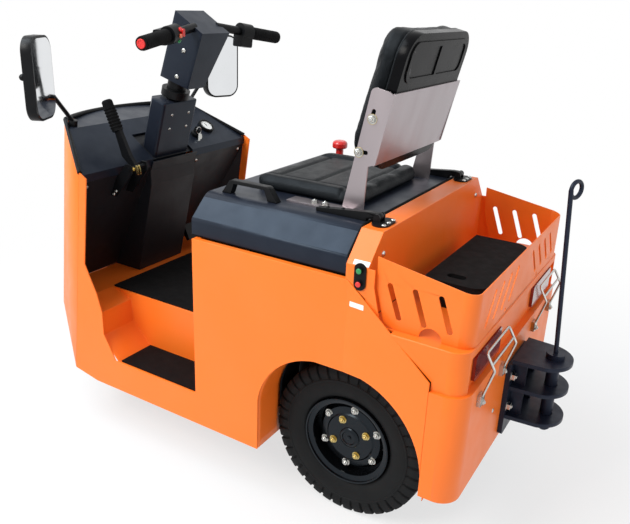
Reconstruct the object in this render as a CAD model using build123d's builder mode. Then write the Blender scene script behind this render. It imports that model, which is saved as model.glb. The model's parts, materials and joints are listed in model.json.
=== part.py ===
"""Three-wheel electric baggage tug: a sit-on tow tractor in folded sheet steel.

Millimetres, +X forward, +Y to the driver's left, +Z up. Z is 0 on the floor.
Lengths along the machine are given as a distance ahead of the rear axle.
"""
import os
from math import atan, cos, degrees, hypot, radians, sin, tan

from build123d import *

# Rear wheels and axle
tyre_d = 415.0
tyre_w = 112.0
rim_seat_d = 233.0
track = 468.0

# Front wheel and its steering
front_tyre_d = 305.0
front_tyre_w = 95.0
front_seat_d = 150.0
wheelbase = 934.0
fork_gap = 9.0

# Sheet steel and fits
sheet = 4.0
panel = 3.0
seam = 0.5
fit = 0.3
moving_gap = 6.0

# Body shell
body_w = 732.0
tail_w = 776.0
skirt_z = 145.0
lip_z = 677.0
lip_w = 16.0
floor_z = 400.0
step_z = 237.0
box_ahead = 416.0
arch_front = 212.0
arch_rear = -236.0
arch_top = 452.0
beam_front = -16.0
beam_depth = 54.0
beam_z = 779.0
button_at = (-51.5, 692.0)
button_pitch = 30.0
button_d = 14.0
button_plate = (62.0, 28.0)
button_t = 3.0
wing_low = 36.0
wing_top = 15.0
wing_cut = 41.0
shoulder_y = 305.0
shoulder_z = 715.0
flare_low = (-236.0, 507.0)
flare_high = (-22.0, 677.0)

# Front cowl
nose_ahead = wheelbase + 204.0
nose_corner = (wheelbase + 132.0, 253.0)
nose_z = 291.0
cheek_ahead = wheelbase - 62.0
lean = degrees(atan(0.137))
rim_z = 890.0
cheek_top_z = 780.0
cheek_low_z = 161.0

# Console and leg room
console_low = (wheelbase - 131.0, 771.0)
console_bend = (wheelbase + 6.0, 868.0)
column_slot_w = 176.0
column_slot_ahead = wheelbase - 45.0
toe_ahead = wheelbase + 48.0
toe_y = 280.0
tunnel_w = 196.0
tunnel_ahead = wheelbase - 58.0
tunnel_top = (wheelbase - 128.0, 690.0)
mat_t = 5.0
well_y = 238.0
well_front = ((wheelbase - 85.0, 403.0), (wheelbase - 161.0, 372.0),
              (wheelbase - 165.0, 302.0), (wheelbase - 231.0, 237.0))

# Tail
tail_ahead = -315.0
tail_z = 225.0
tail_r = 48.0
shelf_z = 487.0
ledge_z = 587.0
ledge_inset = 8.0
band_top = 569.0
band_depth = 9.0
band_w = 700.0
lamp_y = 226.0
lamp_w = 176.0
guard_d = 6.0
guard_y = 216.0
guard_w = 156.0
guard_bend = 8.0
guard_clip = (26.0, 9.0)
guard_side = ((-321.0, 455.0), (-341.0, 526.0), (-320.0, 562.0))
guard_bar = (-334.0, 538.0)
guard_bar_d = 5.4

# Basket
basket_w = 711.0
basket_front = -84.0
basket_rear = -305.0
basket_top_front = 742.0
basket_top_rear = 705.0
basket_r = 30.0
slot_w = 12.0
slot_z = 650.0
side_slot_run = (72.0, 70.0)
rear_slot_run = (78.0, 38.0)
notch_ahead = -215.0
side_slots = 3
side_slot_ahead = -129.0
side_slot_pitch = 57.0
rear_slots = 4
rear_slot_y = 88.0
rear_slot_pitch = 56.0
rear_hole = (134.0, 597.0)
rear_hole_d = 10.0
notch_r = 25.0
tray_z = 650.0
tray_w = 372.0
tray_ahead = (-270.0, -122.0)
tray_r = 40.0
hand_hole = (-186.0, 139.0)
hand_hole_size = (46.0, 24.0)

# Lid
lid_ahead = (-10.0, 428.0)
lid_w = 700.0
lid_top_w = 580.0
lid_z = (683.0, 722.0, 778.0)
hinge_ahead = -32.0
hinge_z = 793.0
hinge_y = 252.0
hinge_pin_d = 8.0
hinge_eye_r = 8.0
arm_w = 16.0
arm_ahead = 128.0
ear_t = 5.0
handle_ahead = (243.0, 382.0)
handle_inset = 28.0
handle_foot = 28.0
handle_lean = 12.0
handle_w = 20.0
handle_h = 36.0
handle_t = 9.0
knob_at = (353.0, -249.0)
knob_d = 46.0
knob_h = 58.0

# Seat
cushion_ahead = (52.0, 372.0)
cushion_w = 370.0
cushion_t = 32.0
back_w = 372.0
back_lean = 13.5
back_foot = (21.0, 868.0)
back_h = 318.0
shell_t = 24.0
frame_rise = 3.0
frame_edge = 18.0
frame_h = 92.0
frame_w = 12.0
pad_t = 46.0
bracket_w = 400.0
bracket_t = 4.0

# Steering column and head
column_lean = 16.0
column_top = (wheelbase - 142.0, 943.0)
column_w = 150.0
column_d = 66.0
column_shift = 4.0
column_front_cut = 17.0
column_rear_cut = 6.0
shroud_h = 212.0
shaft_r = 15.0
neck_gap = 8.0
neck_h = 30.0
joint_room = 26.0
tube_t = 4.0
bearing_h = 12.0
neck_d = 84.0
head_top = ((wheelbase - 210.0, 1195.0), (wheelbase - 306.0, 1138.0))
head_foot = 58.0
head_low = (38.0, -72.0)
head_top_w = 120.0
head_low_w = 72.0
bar_d = 24.0
bar_root = (wheelbase - 266.0, 48.0, 1153.0)
bar_end = (wheelbase - 308.0, 292.0, 1120.0)
grip_d = 34.0
grip_len = 112.0
grip_cap = 4.0
block_d = 48.0
block_len = 42.0
block_box = 40.0
block_shift = ((1, 24.0, -6.0), (-1, 4.0, -24.0))

# Mirrors
mirror_span = 912.0
mirror_places = ((1, wheelbase - 49.0, 1021.0, 30.0), (-1, wheelbase - 17.0, 1003.0, 20.0))
mirror_w = 130.0
mirror_h = 212.0
mirror_r = 40.0
mirror_t = 26.0
mirror_rim = 6.0
arm_foot = (wheelbase + 24.0, 246.0, 884.0)
arm_d = 12.0

# Hitch
hitch_ahead = -450.0
hitch_w = 144.0
hitch_t = 10.0
hitch_z = (283.0, 364.0, 436.0)
hitch_plate_z = (255.0, 405.0)
pin_ahead = -408.0
pin_d = 30.0
pin_gap = 1.5
pin_low = 247.0
pin_rod_d = 11.0
pin_lean = 4.2
loop_z = 859.0
loop_r = 19.0
loop_turn = 66.0

axle_x = -(hitch_ahead + nose_ahead) / 2
wheel_z = tyre_d / 2
front_z = front_tyre_d / 2
side_y = body_w / 2
tail_y = tail_w / 2
outer_y = max(side_y, tail_y)
rake = tan(radians(lean))

os.makedirs("parts", exist_ok=True)


def x(ahead):
    """Place along X of a distance ahead of the rear axle."""
    return axle_x + ahead


def side(points):
    """Side-view points (ahead, height) as sketch points."""
    return [(x(ahead), z) for ahead, z in points]


def across(y):
    """Side-view plane whose extrusion runs from this Y towards the right."""
    return Plane.XZ.offset(-y)


def leaned(ahead, z, other_z):
    """Place of a point of the leaning cowl carried up or down to another height."""
    return ahead - (other_z - z) * rake


def save(piece, name):
    """Label a finished piece and write it to its own file."""
    piece.part.label = name
    export_step(piece.part, f"parts/{name}.step")


# Rear wheels: one tyre and one dished rim a side
def tyre_profile(outer_d, seat_d, width):
    """Half section of a tyre, radius along X and width along Y."""
    outer, seat, half = outer_d / 2, seat_d / 2, width / 2
    tread, bead = half * 0.80, half * 0.72
    Polygon(
        (seat, -bead), (seat + 8, -half * 0.86), ((seat + outer) / 2, -half), (outer - 22, -half * 0.95),
        (outer - 5, -tread), (outer, -tread * 0.7), (outer, tread * 0.7), (outer - 5, tread),
        (outer - 22, half * 0.95), ((seat + outer) / 2, half), (seat + 8, half * 0.86), (seat, bead),
        align=None)


def spun(hub_x, hub_y, hub_z):
    """Plane whose X is the radius and whose Y is the wheel's axle, at a hub."""
    return Plane(origin=(hub_x, hub_y, hub_z), x_dir=(1, 0, 0), z_dir=(0, 0, 1))


def wheel_axis(hub_x, hub_y, hub_z):
    """Axle line of a wheel."""
    return Axis((hub_x, hub_y, hub_z), (0, 1, 0))


for name, sign in (("left", 1), ("right", -1)):
    hub = (x(0), sign * track / 2, wheel_z)
    with BuildPart() as tyre:
        with BuildSketch(spun(*hub)):
            tyre_profile(tyre_d, rim_seat_d, tyre_w)
        revolve(axis=wheel_axis(*hub))
    save(tyre, f"rear_tyre_{name}")

    seat_r = rim_seat_d / 2 - fit
    half = tyre_w / 2
    with BuildPart() as rim:
        with BuildSketch(spun(*hub)):
            Polygon(
                (0, sign * 30), (62, sign * 30), (66, sign * 27), (82, sign * 24), (96, sign * 6),
                (seat_r - 16, sign * 6), (seat_r - 16, sign * (half - 14)), (seat_r - 4, sign * (half - 10)),
                (seat_r - 4, sign * (half - 4)), (seat_r, sign * (half - 4)),
                (seat_r, -sign * (half - 6)), (seat_r - 10, -sign * (half - 6)), (seat_r - 10, -sign * 2),
                (90, -sign * 2), (76, sign * 16), (0, sign * 16),
                align=None)
        revolve(axis=wheel_axis(*hub))
    save(rim, f"rear_rim_{name}")

# Front wheel
front_hub = (x(wheelbase), 0, front_z)
with BuildPart() as front_tyre:
    with BuildSketch(spun(*front_hub)):
        tyre_profile(front_tyre_d, front_seat_d, front_tyre_w)
    revolve(axis=wheel_axis(*front_hub))
save(front_tyre, "front_tyre")

hub_half = front_tyre_w / 2 - 2
with BuildPart() as front_rim:
    with BuildSketch(spun(*front_hub)):
        Polygon(
            (11, -hub_half), (30, -hub_half), (36, -10), (front_seat_d / 2 - 12, -8),
            (front_seat_d / 2 - 12, -hub_half + 8), (front_seat_d / 2 - fit, -hub_half + 8),
            (front_seat_d / 2 - fit, hub_half - 8), (front_seat_d / 2 - 12, hub_half - 8),
            (front_seat_d / 2 - 12, 8), (36, 10), (30, hub_half), (11, hub_half),
            align=None)
    revolve(axis=wheel_axis(*front_hub))
save(front_rim, "front_rim")

# Steering fork: crown, two legs, axle and the upright stem
leg_y = front_tyre_w / 2 + fork_gap
leg_t = 10.0
crown_z = front_tyre_d + 14
stem_d = 36.0
stem_top = 436.0
with BuildPart() as fork:
    for sign in (1, -1):
        with BuildSketch(across(max(sign * leg_y, sign * (leg_y + leg_t)))):
            with BuildLine():
                l1 = Line((x(wheelbase) - 26, crown_z + 14), (x(wheelbase) - 24, front_z))
                l2 = RadiusArc(l1 @ 1, (x(wheelbase) + 24, front_z), -24)
                l3 = Line(l2 @ 1, (x(wheelbase) + 26, crown_z + 14))
                Line(l3 @ 1, l1 @ 0)
            make_face()
        extrude(amount=leg_t)
    with BuildSketch(Plane.XY.offset(crown_z)):
        with Locations((x(wheelbase), 0)):
            Rectangle(52, 2 * (leg_y + leg_t))
    extrude(amount=14)
    with BuildSketch(Plane.XY.offset(crown_z)):
        with Locations((x(wheelbase), 0)):
            Circle(stem_d / 2)
    extrude(amount=stem_top - crown_z)
    with BuildSketch(across(leg_y + leg_t + 8)):
        with Locations((x(wheelbase), front_z)):
            Circle(10)
    extrude(amount=2 * (leg_y + leg_t + 8))
save(fork, "steering_fork")

# Steering column: the shaft turns in a tube that stands on the floor and carries the shroud
column_dir = Vector(-sin(radians(column_lean)), 0, cos(radians(column_lean)))
column_ahead = Vector(cos(radians(column_lean)), 0, sin(radians(column_lean)))
column_foot = Vector(x(column_top[0]), 0, column_top[1])
column_plane = Plane(origin=column_foot, x_dir=column_ahead, z_dir=column_dir)


def column_at(z):
    """Distance ahead of the column's axis at a height."""
    return column_top[0] + (column_top[1] - z) * tan(radians(column_lean))


down = (column_top[1] - stem_top - joint_room) / cos(radians(column_lean))
with BuildPart() as shaft:
    with BuildSketch(column_plane.offset(-down)):
        Circle(shaft_r)
    extrude(amount=down + neck_gap)
    with BuildSketch(column_plane.offset(neck_gap)):
        Circle(neck_d / 2)
    extrude(amount=neck_h - neck_gap)
    with BuildSketch(column_plane.offset(neck_h)):
        Circle(neck_d / 3)
    extrude(amount=head_foot - neck_h - fit)
save(shaft, "steering_shaft")

tube_in = shaft_r + moving_gap
tube_out = tube_in + tube_t
foot_z = floor_z - mat_t + fit
web_z = 520.0
with BuildPart() as tube:
    with BuildSketch(column_plane.offset(bearing_h - down)):
        Circle(tube_out)
    extrude(amount=down - bearing_h)
    for sign in (1, -1):
        with BuildSketch(across(max(sign * tube_out, sign * (tube_out - tube_t)))):
            Polygon(*side([
                (column_at(foot_z) - 59, foot_z), (column_at(foot_z) + 36, foot_z),
                (column_at(web_z) + 35, web_z), (column_at(web_z) - 5, web_z)]), align=None)
        extrude(amount=tube_t)
    with BuildSketch(column_plane.offset(-down - 1)):
        Circle(tube_in)
    extrude(amount=down + 2, mode=Mode.SUBTRACT)
    for level in (bearing_h - down, -bearing_h):
        with BuildSketch(column_plane.offset(level)):
            Circle(tube_in + 1)
            Circle(shaft_r + fit, mode=Mode.SUBTRACT)
        extrude(amount=bearing_h)
save(tube, "column_tube")

with BuildPart() as shroud:
    with BuildSketch(column_plane.offset(-shroud_h)):
        with Locations((column_shift, 0)):
            Rectangle(column_d, column_w)
        chamfer(vertices().group_by(Axis.X)[-1], column_front_cut)
        chamfer(vertices().group_by(Axis.X)[0], column_rear_cut)
    extrude(amount=shroud_h)
    with BuildSketch(column_plane.offset(-shroud_h)):
        Circle(tube_out + fit)
    extrude(amount=shroud_h, mode=Mode.SUBTRACT)
save(shroud, "column_shroud")

# Head: a tapered folded box that carries the handlebar
head_low_mid = column_foot + column_dir * head_foot + column_ahead * (sum(head_low) / 2)
top_front, top_rear = (Vector(x(ahead), 0, z) for ahead, z in head_top)
with BuildPart() as head:
    with BuildSketch(Plane(origin=head_low_mid, x_dir=column_ahead, z_dir=column_dir)):
        Rectangle(head_low[0] - head_low[1], head_low_w)
    with BuildSketch(Plane(origin=(top_front + top_rear) / 2, x_dir=top_front - top_rear,
                           z_dir=Vector(top_rear.Z - top_front.Z, 0, top_front.X - top_rear.X))):
        Rectangle((top_front - top_rear).length, head_top_w)
    loft()
save(head, "steering_head")

# Handlebar: a swept-back tube a side, rooted in the head
bar_run = (Vector(*bar_end) - Vector(*bar_root)).length


def across_bar(sign, back):
    """Plane across the handlebar at a distance back from its end, its X forwards."""
    root = Vector(x(bar_root[0]), sign * bar_root[1], bar_root[2])
    tip = Vector(x(bar_end[0]), sign * bar_end[1], bar_end[2])
    along = (tip - root).normalized()
    return Plane(origin=tip - along * back, x_dir=Vector(1, 0, 0) - along * along.X, z_dir=along)


with BuildPart() as handlebar:
    for sign in (1, -1):
        with BuildSketch(across_bar(sign, bar_run)):
            Circle(bar_d / 2)
        extrude(amount=bar_run - grip_cap)
head_solid = head.part
with BuildPart() as handlebar_clear:
    add(handlebar.part)
    add(head_solid, mode=Mode.SUBTRACT)
save(handlebar_clear, "handlebar")

with BuildPart() as grips:
    for sign in (1, -1):
        with BuildSketch(across_bar(sign, grip_len)):
            Circle(grip_d / 2)
            Circle(bar_d / 2 + fit, mode=Mode.SUBTRACT)
        extrude(amount=grip_len - grip_cap)
        with BuildSketch(across_bar(sign, grip_cap)):
            Circle(grip_d / 2)
        extrude(amount=grip_cap + 2)
save(grips, "grips")

# Switch blocks: a collar round the bar with a box on its front or under it
with BuildPart() as switches:
    for sign, box_forward, box_up in block_shift:
        with BuildSketch(across_bar(sign, grip_len + grip_cap + block_len)):
            Circle(block_d / 2)
            with Locations((box_forward, -sign * box_up)):
                RectangleRounded(block_box, block_box, 6)
            Circle(bar_d / 2 + fit, mode=Mode.SUBTRACT)
        extrude(amount=block_len)
save(switches, "switch_blocks")


# Cowl plan, drawn at the height of the nose's lower edge
def cowl_plan(inset):
    """Closed plan of the cowl at nose height, its walls moved inwards by inset."""
    corner_x, corner_y = nose_corner
    bow = nose_ahead - corner_x
    with BuildLine() as plan:
        ThreePointArc((x(corner_x), -corner_y), (x(corner_x + bow), 0), (x(corner_x), corner_y))
        Polyline((x(corner_x), corner_y), (x(cheek_ahead), side_y), (x(cheek_ahead) - 300, side_y),
                 (x(cheek_ahead) - 300, -side_y), (x(cheek_ahead), -side_y), (x(corner_x), -corner_y))
    make_face(plan.edges())
    if inset > 0:
        offset(amount=-inset, kind=Kind.INTERSECTION, mode=Mode.REPLACE)


lean_dir = (-rake, 0, 1)
lean_run = hypot(rake, 1)
cowl_low = 120.0
cowl_high = 900.0
cowl_base = Plane.XY.offset(cowl_low).move(Location((-(cowl_low - nose_z) * rake, 0, 0)))


def cheek(z):
    """Distance ahead of the bend between cheek and side panel at a height."""
    return leaned(cheek_ahead, nose_z, z)


corner_top = leaned(nose_corner[0], nose_z, rim_z)
with BuildPart() as cowl:
    with BuildSketch(cowl_base):
        cowl_plan(0)
    extrude(amount=(cowl_high - cowl_low) * lean_run, dir=lean_dir)
    with BuildSketch(cowl_base):
        cowl_plan(sheet)
    extrude(amount=(cowl_high - cowl_low) * lean_run, dir=lean_dir, mode=Mode.SUBTRACT)
    with BuildSketch(across(side_y)):
        Polygon(*side([
            (cheek(cheek_top_z), cheek_top_z), (corner_top, rim_z), (nose_ahead, rim_z),
            (nose_ahead + 40, nose_z), (nose_corner[0], nose_z), (cheek(cheek_low_z), cheek_low_z),
        ]), align=None)
    extrude(amount=body_w, mode=Mode.INTERSECT)
save(cowl, "front_cowl")

# Side panels: the cowl's flank, the step opening, the seat box's side, the wheel arch and the rear flare
opening = [
    (leaned(wheelbase - 120, 514, cheek_top_z - 14), cheek_top_z - 14), (wheelbase - 120, 514),
    (wheelbase - 135, 483), (wheelbase - 159, 435), (wheelbase - 177, 378), (wheelbase - 177, 312),
    (wheelbase - 219, step_z + 2), (box_ahead + 4, step_z + 2), (box_ahead, step_z + 8), (box_ahead, lip_z),
]
panel_edge = [
    (cheek(cheek_low_z) - seam, cheek_low_z), (cheek(cheek_top_z) - seam, cheek_top_z), *opening,
    (flare_high[0], lip_z), flare_low, (flare_low[0], skirt_z), (wheelbase - 134, skirt_z),
]
for name, sign in (("left", 1), ("right", -1)):
    with BuildPart() as side_panel:
        with BuildSketch(Plane.XY.offset(skirt_z)):
            Polygon(*[(x(ahead), sign * y) for ahead, y in (
                (cheek_ahead + 60, side_y), (flare_high[0], side_y), (flare_low[0], tail_y),
                (flare_low[0], tail_y - sheet), (flare_high[0], side_y - sheet), (cheek_ahead + 60, side_y - sheet),
            )], align=None)
        extrude(amount=cheek_top_z - skirt_z)
        with BuildSketch(across(max(0, sign * outer_y))):
            Polygon(*side(panel_edge), align=None)
            with BuildLine() as arch:
                a1 = Line((x(arch_front), skirt_z - 9), (x(arch_front), 292))
                a2 = ThreePointArc(a1 @ 1, (x(153), 404), (x(54), arch_top))
                a3 = Line(a2 @ 1, (x(-70), arch_top))
                a4 = ThreePointArc(a3 @ 1, (x(-178), 398), (x(arch_rear), 274))
                a5 = Line(a4 @ 1, (x(arch_rear - 9), 274))
                a6 = Line(a5 @ 1, (x(arch_rear - 9), skirt_z - 9))
                Line(a6 @ 1, a1 @ 0)
            make_face(arch.edges(), mode=Mode.SUBTRACT)
        extrude(amount=outer_y, mode=Mode.INTERSECT)
        with BuildSketch(Plane.XY.offset(lip_z - sheet)):
            with Locations((x((box_ahead + flare_high[0]) / 2), sign * (side_y - lip_w / 2))):
                Rectangle(box_ahead - flare_high[0] - 2 * sheet, lip_w)
        extrude(amount=sheet)
    save(side_panel, f"side_panel_{name}")

# Floor pan: upper floor, risers, step wells and the sloping fronts of the wells
inner_y = side_y - sheet - seam
floor_top = floor_z - mat_t
with BuildPart() as floor:
    with BuildSketch(Plane.XY.offset(floor_top - sheet)):
        floor_plan = [(box_ahead + seam, well_y), (well_front[0][0], well_y),
                      (well_front[0][0], inner_y - 6), (toe_ahead, toe_y)]
        Polygon(*[(x(a), y) for a, y in floor_plan], *[(x(a), -y) for a, y in reversed(floor_plan)],
                align=None)
        with Locations((x(wheelbase), 0)):
            Circle(stem_d / 2 + moving_gap, mode=Mode.SUBTRACT)
    extrude(amount=sheet)
    well_under = [
        (well_front[0][0], floor_top - sheet), (well_front[1][0] + sheet, well_front[1][1] - 3),
        (well_front[2][0] + sheet, well_front[2][1]), (well_front[3][0] + 3, step_z - sheet),
        (box_ahead + seam, step_z - sheet),
    ]
    for sign in (1, -1):
        with BuildSketch(across(max(sign * well_y, sign * (well_y - sheet)))):
            Polygon(*side([(box_ahead + seam, floor_top), (well_front[0][0], floor_top), *well_under]), align=None)
        extrude(amount=sheet)
        with BuildSketch(across(max(sign * well_y, sign * inner_y))):
            Polygon(*side([(box_ahead + seam, step_z), *reversed(well_front[1:]), (well_front[0][0], floor_top),
                           *well_under]), align=None)
        extrude(amount=inner_y - well_y)
save(floor, "floor_pan")

# Rubber mats: upper floor, two steps and the tray behind
mat_inset = 8.0
with BuildPart() as mats:
    with BuildSketch(Plane.XY.offset(floor_top + fit)):
        with Locations((x((box_ahead + well_front[0][0]) / 2), 0)):
            Rectangle(well_front[0][0] - box_ahead - mat_inset, 2 * (well_y - 3))
    extrude(amount=mat_t)
    for sign in (1, -1):
        with BuildSketch(Plane.XY.offset(step_z + fit)):
            with Locations((x((box_ahead + well_front[3][0]) / 2), sign * (well_y + inner_y) / 2)):
                Rectangle(well_front[3][0] - box_ahead - mat_inset, inner_y - well_y - mat_inset)
        extrude(amount=mat_t)
    with BuildSketch(Plane.XY.offset(tray_z - mat_t)):
        with Locations((x((tray_ahead[0] + tray_ahead[1]) / 2), 0)):
            Rectangle(tray_ahead[1] - tray_ahead[0], tray_w)
            fillet(vertices().group_by(Axis.X)[0], tray_r)
        with Locations((x(hand_hole[0]), hand_hole[1])):
            SlotOverall(hand_hole_size[0], hand_hole_size[1], mode=Mode.SUBTRACT)
    extrude(amount=mat_t)
save(mats, "floor_mats")

with BuildPart() as tray:
    with BuildSketch(Plane.XY.offset(ledge_z + fit)):
        with Locations((x((tray_ahead[0] + tray_ahead[1]) / 2), 0)):
            Rectangle(tray_ahead[1] - tray_ahead[0], tray_w)
            fillet(vertices().group_by(Axis.X)[0], tray_r)
    extrude(amount=tray_z - mat_t - ledge_z - 2 * fit)
    with BuildSketch(Plane.XY.offset(ledge_z + 20)):
        with Locations((x(hand_hole[0]), hand_hole[1])):
            SlotOverall(hand_hole_size[0], hand_hole_size[1])
    extrude(amount=tray_z - ledge_z, mode=Mode.SUBTRACT)
save(tray, "tray_platform")


# Everything inside the cowl's walls less a seam, as a leaning prism to intersect with
with BuildPart() as cowl_core:
    with BuildSketch(cowl_base):
        cowl_plan(sheet + seam)
    extrude(amount=(cowl_high - cowl_low) * lean_run, dir=lean_dir)

# Console: the inclined instrument panel with its bent front band and rim
nose_top = leaned(nose_ahead, nose_z, rim_z)
with BuildPart() as console:
    with BuildSketch(across(inner_y)):
        Polygon(*side([
            console_low, console_bend, (nose_top, rim_z - 2), (nose_top, rim_z - 2 - panel),
            (console_bend[0] + 1, console_bend[1] - panel), (console_low[0] + 2, console_low[1] - panel),
            (console_low[0] + 2, console_low[1] - 22), (console_low[0], console_low[1] - 22),
        ]), align=None)
    extrude(amount=2 * inner_y)
    with BuildSketch(Plane.XY.offset(console_low[1] - 30)):
        with Locations((x((console_low[0] + column_slot_ahead) / 2 - 10), 0)):
            Rectangle(column_slot_ahead - console_low[0] + 20, column_slot_w)
    extrude(amount=120, mode=Mode.SUBTRACT)
    add(cowl_core.part, mode=Mode.INTERSECT)
save(console, "console_panel")

with BuildPart() as lower:
    gap_y = inner_y - 2
    with BuildSketch(across(gap_y)):
        Polygon(*side([
            (console_low[0] + 3, console_low[1] - 23), (toe_ahead, floor_top + 1),
            (toe_ahead + panel, floor_top + 1), (console_low[0] + 3 + panel, console_low[1] - 23),
        ]), align=None)
    extrude(amount=2 * gap_y)
    add(cowl_core.part, mode=Mode.INTERSECT)
    half = tunnel_w / 2
    shell = [tunnel_top, (tunnel_ahead, floor_top + 1), (toe_ahead + 2, floor_top + 1),
             (console_low[0] + 4, console_low[1] - 24)]
    with BuildSketch(across(half)):
        Polygon(*side(shell), align=None)
    extrude(amount=tunnel_w)
    with BuildSketch(across(half - panel)):
        Polygon(*side([(tunnel_top[0] + panel + 4, tunnel_top[1] + 60), (tunnel_top[0] + panel, tunnel_top[1]),
                       (tunnel_ahead + panel + 1, floor_top - 4), (toe_ahead + 20, floor_top - 4),
                       (console_low[0] + 60, console_low[1])]), align=None)
    extrude(amount=tunnel_w - 2 * panel, mode=Mode.SUBTRACT)
save(lower, "lower_panel")

# Seat box front wall and its lower apron
with BuildPart() as box_front:
    with BuildSketch(Plane.YZ.offset(x(box_ahead) - sheet)):
        with Locations((0, (lip_z - seam + skirt_z + 40) / 2)):
            Rectangle(2 * inner_y, lip_z - seam - skirt_z - 40)
        with Locations((0, floor_top / 2)):
            Rectangle(2 * well_y, floor_top, mode=Mode.SUBTRACT)
    extrude(amount=sheet)
    with BuildSketch(Plane.XY.offset(lip_z - sheet)):
        with Locations((x(box_ahead) - lip_w / 2, 0)):
            Rectangle(lip_w, 2 * (side_y - lip_w - seam))
    extrude(amount=sheet)
save(box_front, "seat_box_front")

# Bulkhead beam: a chamfered hoop behind the lid
flare_slope = (flare_high[1] - flare_low[1]) / (flare_high[0] - flare_low[0])
beam_rear = beam_front - beam_depth
with BuildPart() as beam:
    with BuildSketch(Plane.YZ.offset(x(beam_rear))):
        Polygon(
            (-side_y, ledge_z + 1), (-side_y, shoulder_z), (-shoulder_y, beam_z), (shoulder_y, beam_z),
            (side_y, shoulder_z), (side_y, ledge_z + 1), (side_y - sheet, ledge_z + 1),
            (side_y - sheet, shoulder_z - 2), (shoulder_y - 2, beam_z - sheet), (2 - shoulder_y, beam_z - sheet),
            (sheet - side_y, shoulder_z - 2), (sheet - side_y, ledge_z + 1),
            align=None)
    extrude(amount=beam_depth)
    with BuildSketch(across(side_y)):
        Polygon(*side([
            (beam_rear - 1, beam_z + 1), (beam_front + 1, beam_z + 1), (beam_front + 1, lip_z + seam),
            (flare_high[0], lip_z + seam),
            (beam_rear - 1, lip_z + seam - (flare_high[0] - beam_rear + 1) * flare_slope)]), align=None)
    extrude(amount=body_w, mode=Mode.INTERSECT)
    with BuildSketch(Plane.YZ.offset(x(beam_rear))):
        Polygon((-side_y, ledge_z + 1), (-side_y, shoulder_z), (-shoulder_y, beam_z), (shoulder_y, beam_z),
                (side_y, shoulder_z), (side_y, ledge_z + 1), align=None)
    extrude(amount=sheet)
    for sign in (1, -1):
        with BuildSketch(across(max(sign * side_y, sign * (side_y - sheet)))):
            Polygon(*side([
                (beam_rear + 1, shoulder_z - 2), (beam_rear + 1, ledge_z + 1), (beam_rear - wing_low, ledge_z + 1),
                (beam_rear - wing_top, shoulder_z - wing_cut), (beam_rear - wing_top, shoulder_z - 2)]), align=None)
        extrude(amount=sheet)
save(beam, "bulkhead_beam")

# Two push buttons on a plate on the beam's left side
with BuildPart() as side_buttons:
    with BuildSketch(Plane.XZ.offset(-(side_y + fit))):
        with Locations((x(button_at[0]), button_at[1])):
            SlotOverall(button_plate[0], button_plate[1], rotation=90)
    extrude(amount=-button_t)
    with BuildSketch(Plane.XZ.offset(-(side_y + fit))):
        with Locations((x(button_at[0]), button_at[1] + button_pitch / 2),
                       (x(button_at[0]), button_at[1] - button_pitch / 2)):
            Circle(button_d / 2)
    extrude(amount=-3 * button_t)
save(side_buttons, "side_buttons")


# Tail: a skirt block with a stepped-in box on it, hollow from below, its front cut along the flare
ledge_y = tail_y - ledge_inset
ledge_rear = tail_ahead + ledge_inset
band_in = ledge_rear + band_depth
flank_in = side_y - sheet - 2


def tail_plan(rear, half_width, corner_r, front):
    """Plan of the tail between a rear edge and a front edge, its rear corners rounded."""
    with BuildLine() as plan:
        Polyline((x(front), -half_width), (x(rear), -half_width), (x(rear), half_width),
                 (x(front), half_width), close=True)
    make_face(plan.edges())
    fillet(vertices().group_by(Axis.X)[0], corner_r)


with BuildPart() as tail:
    with BuildSketch(Plane.XY.offset(tail_z)):
        tail_plan(tail_ahead, tail_y, tail_r, flare_low[0] - seam)
    extrude(amount=shelf_z - tail_z)
    with BuildSketch(Plane.XY.offset(shelf_z)):
        tail_plan(ledge_rear, ledge_y, tail_r - ledge_inset, beam_rear - seam)
    extrude(amount=ledge_z - shelf_z)
    fillet(edges().filter_by(GeomType.LINE, reverse=True).group_by(Axis.Z)[-1], 3)
    with BuildSketch(Plane.XY.offset(tail_z - 1)):
        tail_plan(tail_ahead + sheet, tail_y - sheet, tail_r - sheet, beam_rear)
    extrude(amount=shelf_z - sheet - tail_z + 1, mode=Mode.SUBTRACT)
    with BuildSketch(Plane.XY.offset(shelf_z - sheet - 1)):
        tail_plan(band_in + sheet, ledge_y - sheet, tail_r - ledge_inset - sheet, beam_rear)
    extrude(amount=ledge_z - shelf_z + 1, mode=Mode.SUBTRACT)
    with BuildSketch(Plane.XY.offset(shelf_z)):
        with Locations((x(band_in - band_depth), 0)):
            Rectangle(2 * band_depth, band_w)
    extrude(amount=band_top - shelf_z, mode=Mode.SUBTRACT)
    for sign in (1, -1):
        with BuildSketch(across(max(sign * flank_in, sign * (tail_y + 1)))):
            Polygon(*side([
                (flare_low[0] - seam, flare_low[1]), (0, flare_low[1] + seam - flare_low[0] * flare_slope),
                (0, shelf_z - 20), (flare_low[0] - seam, shelf_z - 20)]), align=None)
        extrude(amount=tail_y + 1 - flank_in, mode=Mode.SUBTRACT)
save(tail, "rear_body")

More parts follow.
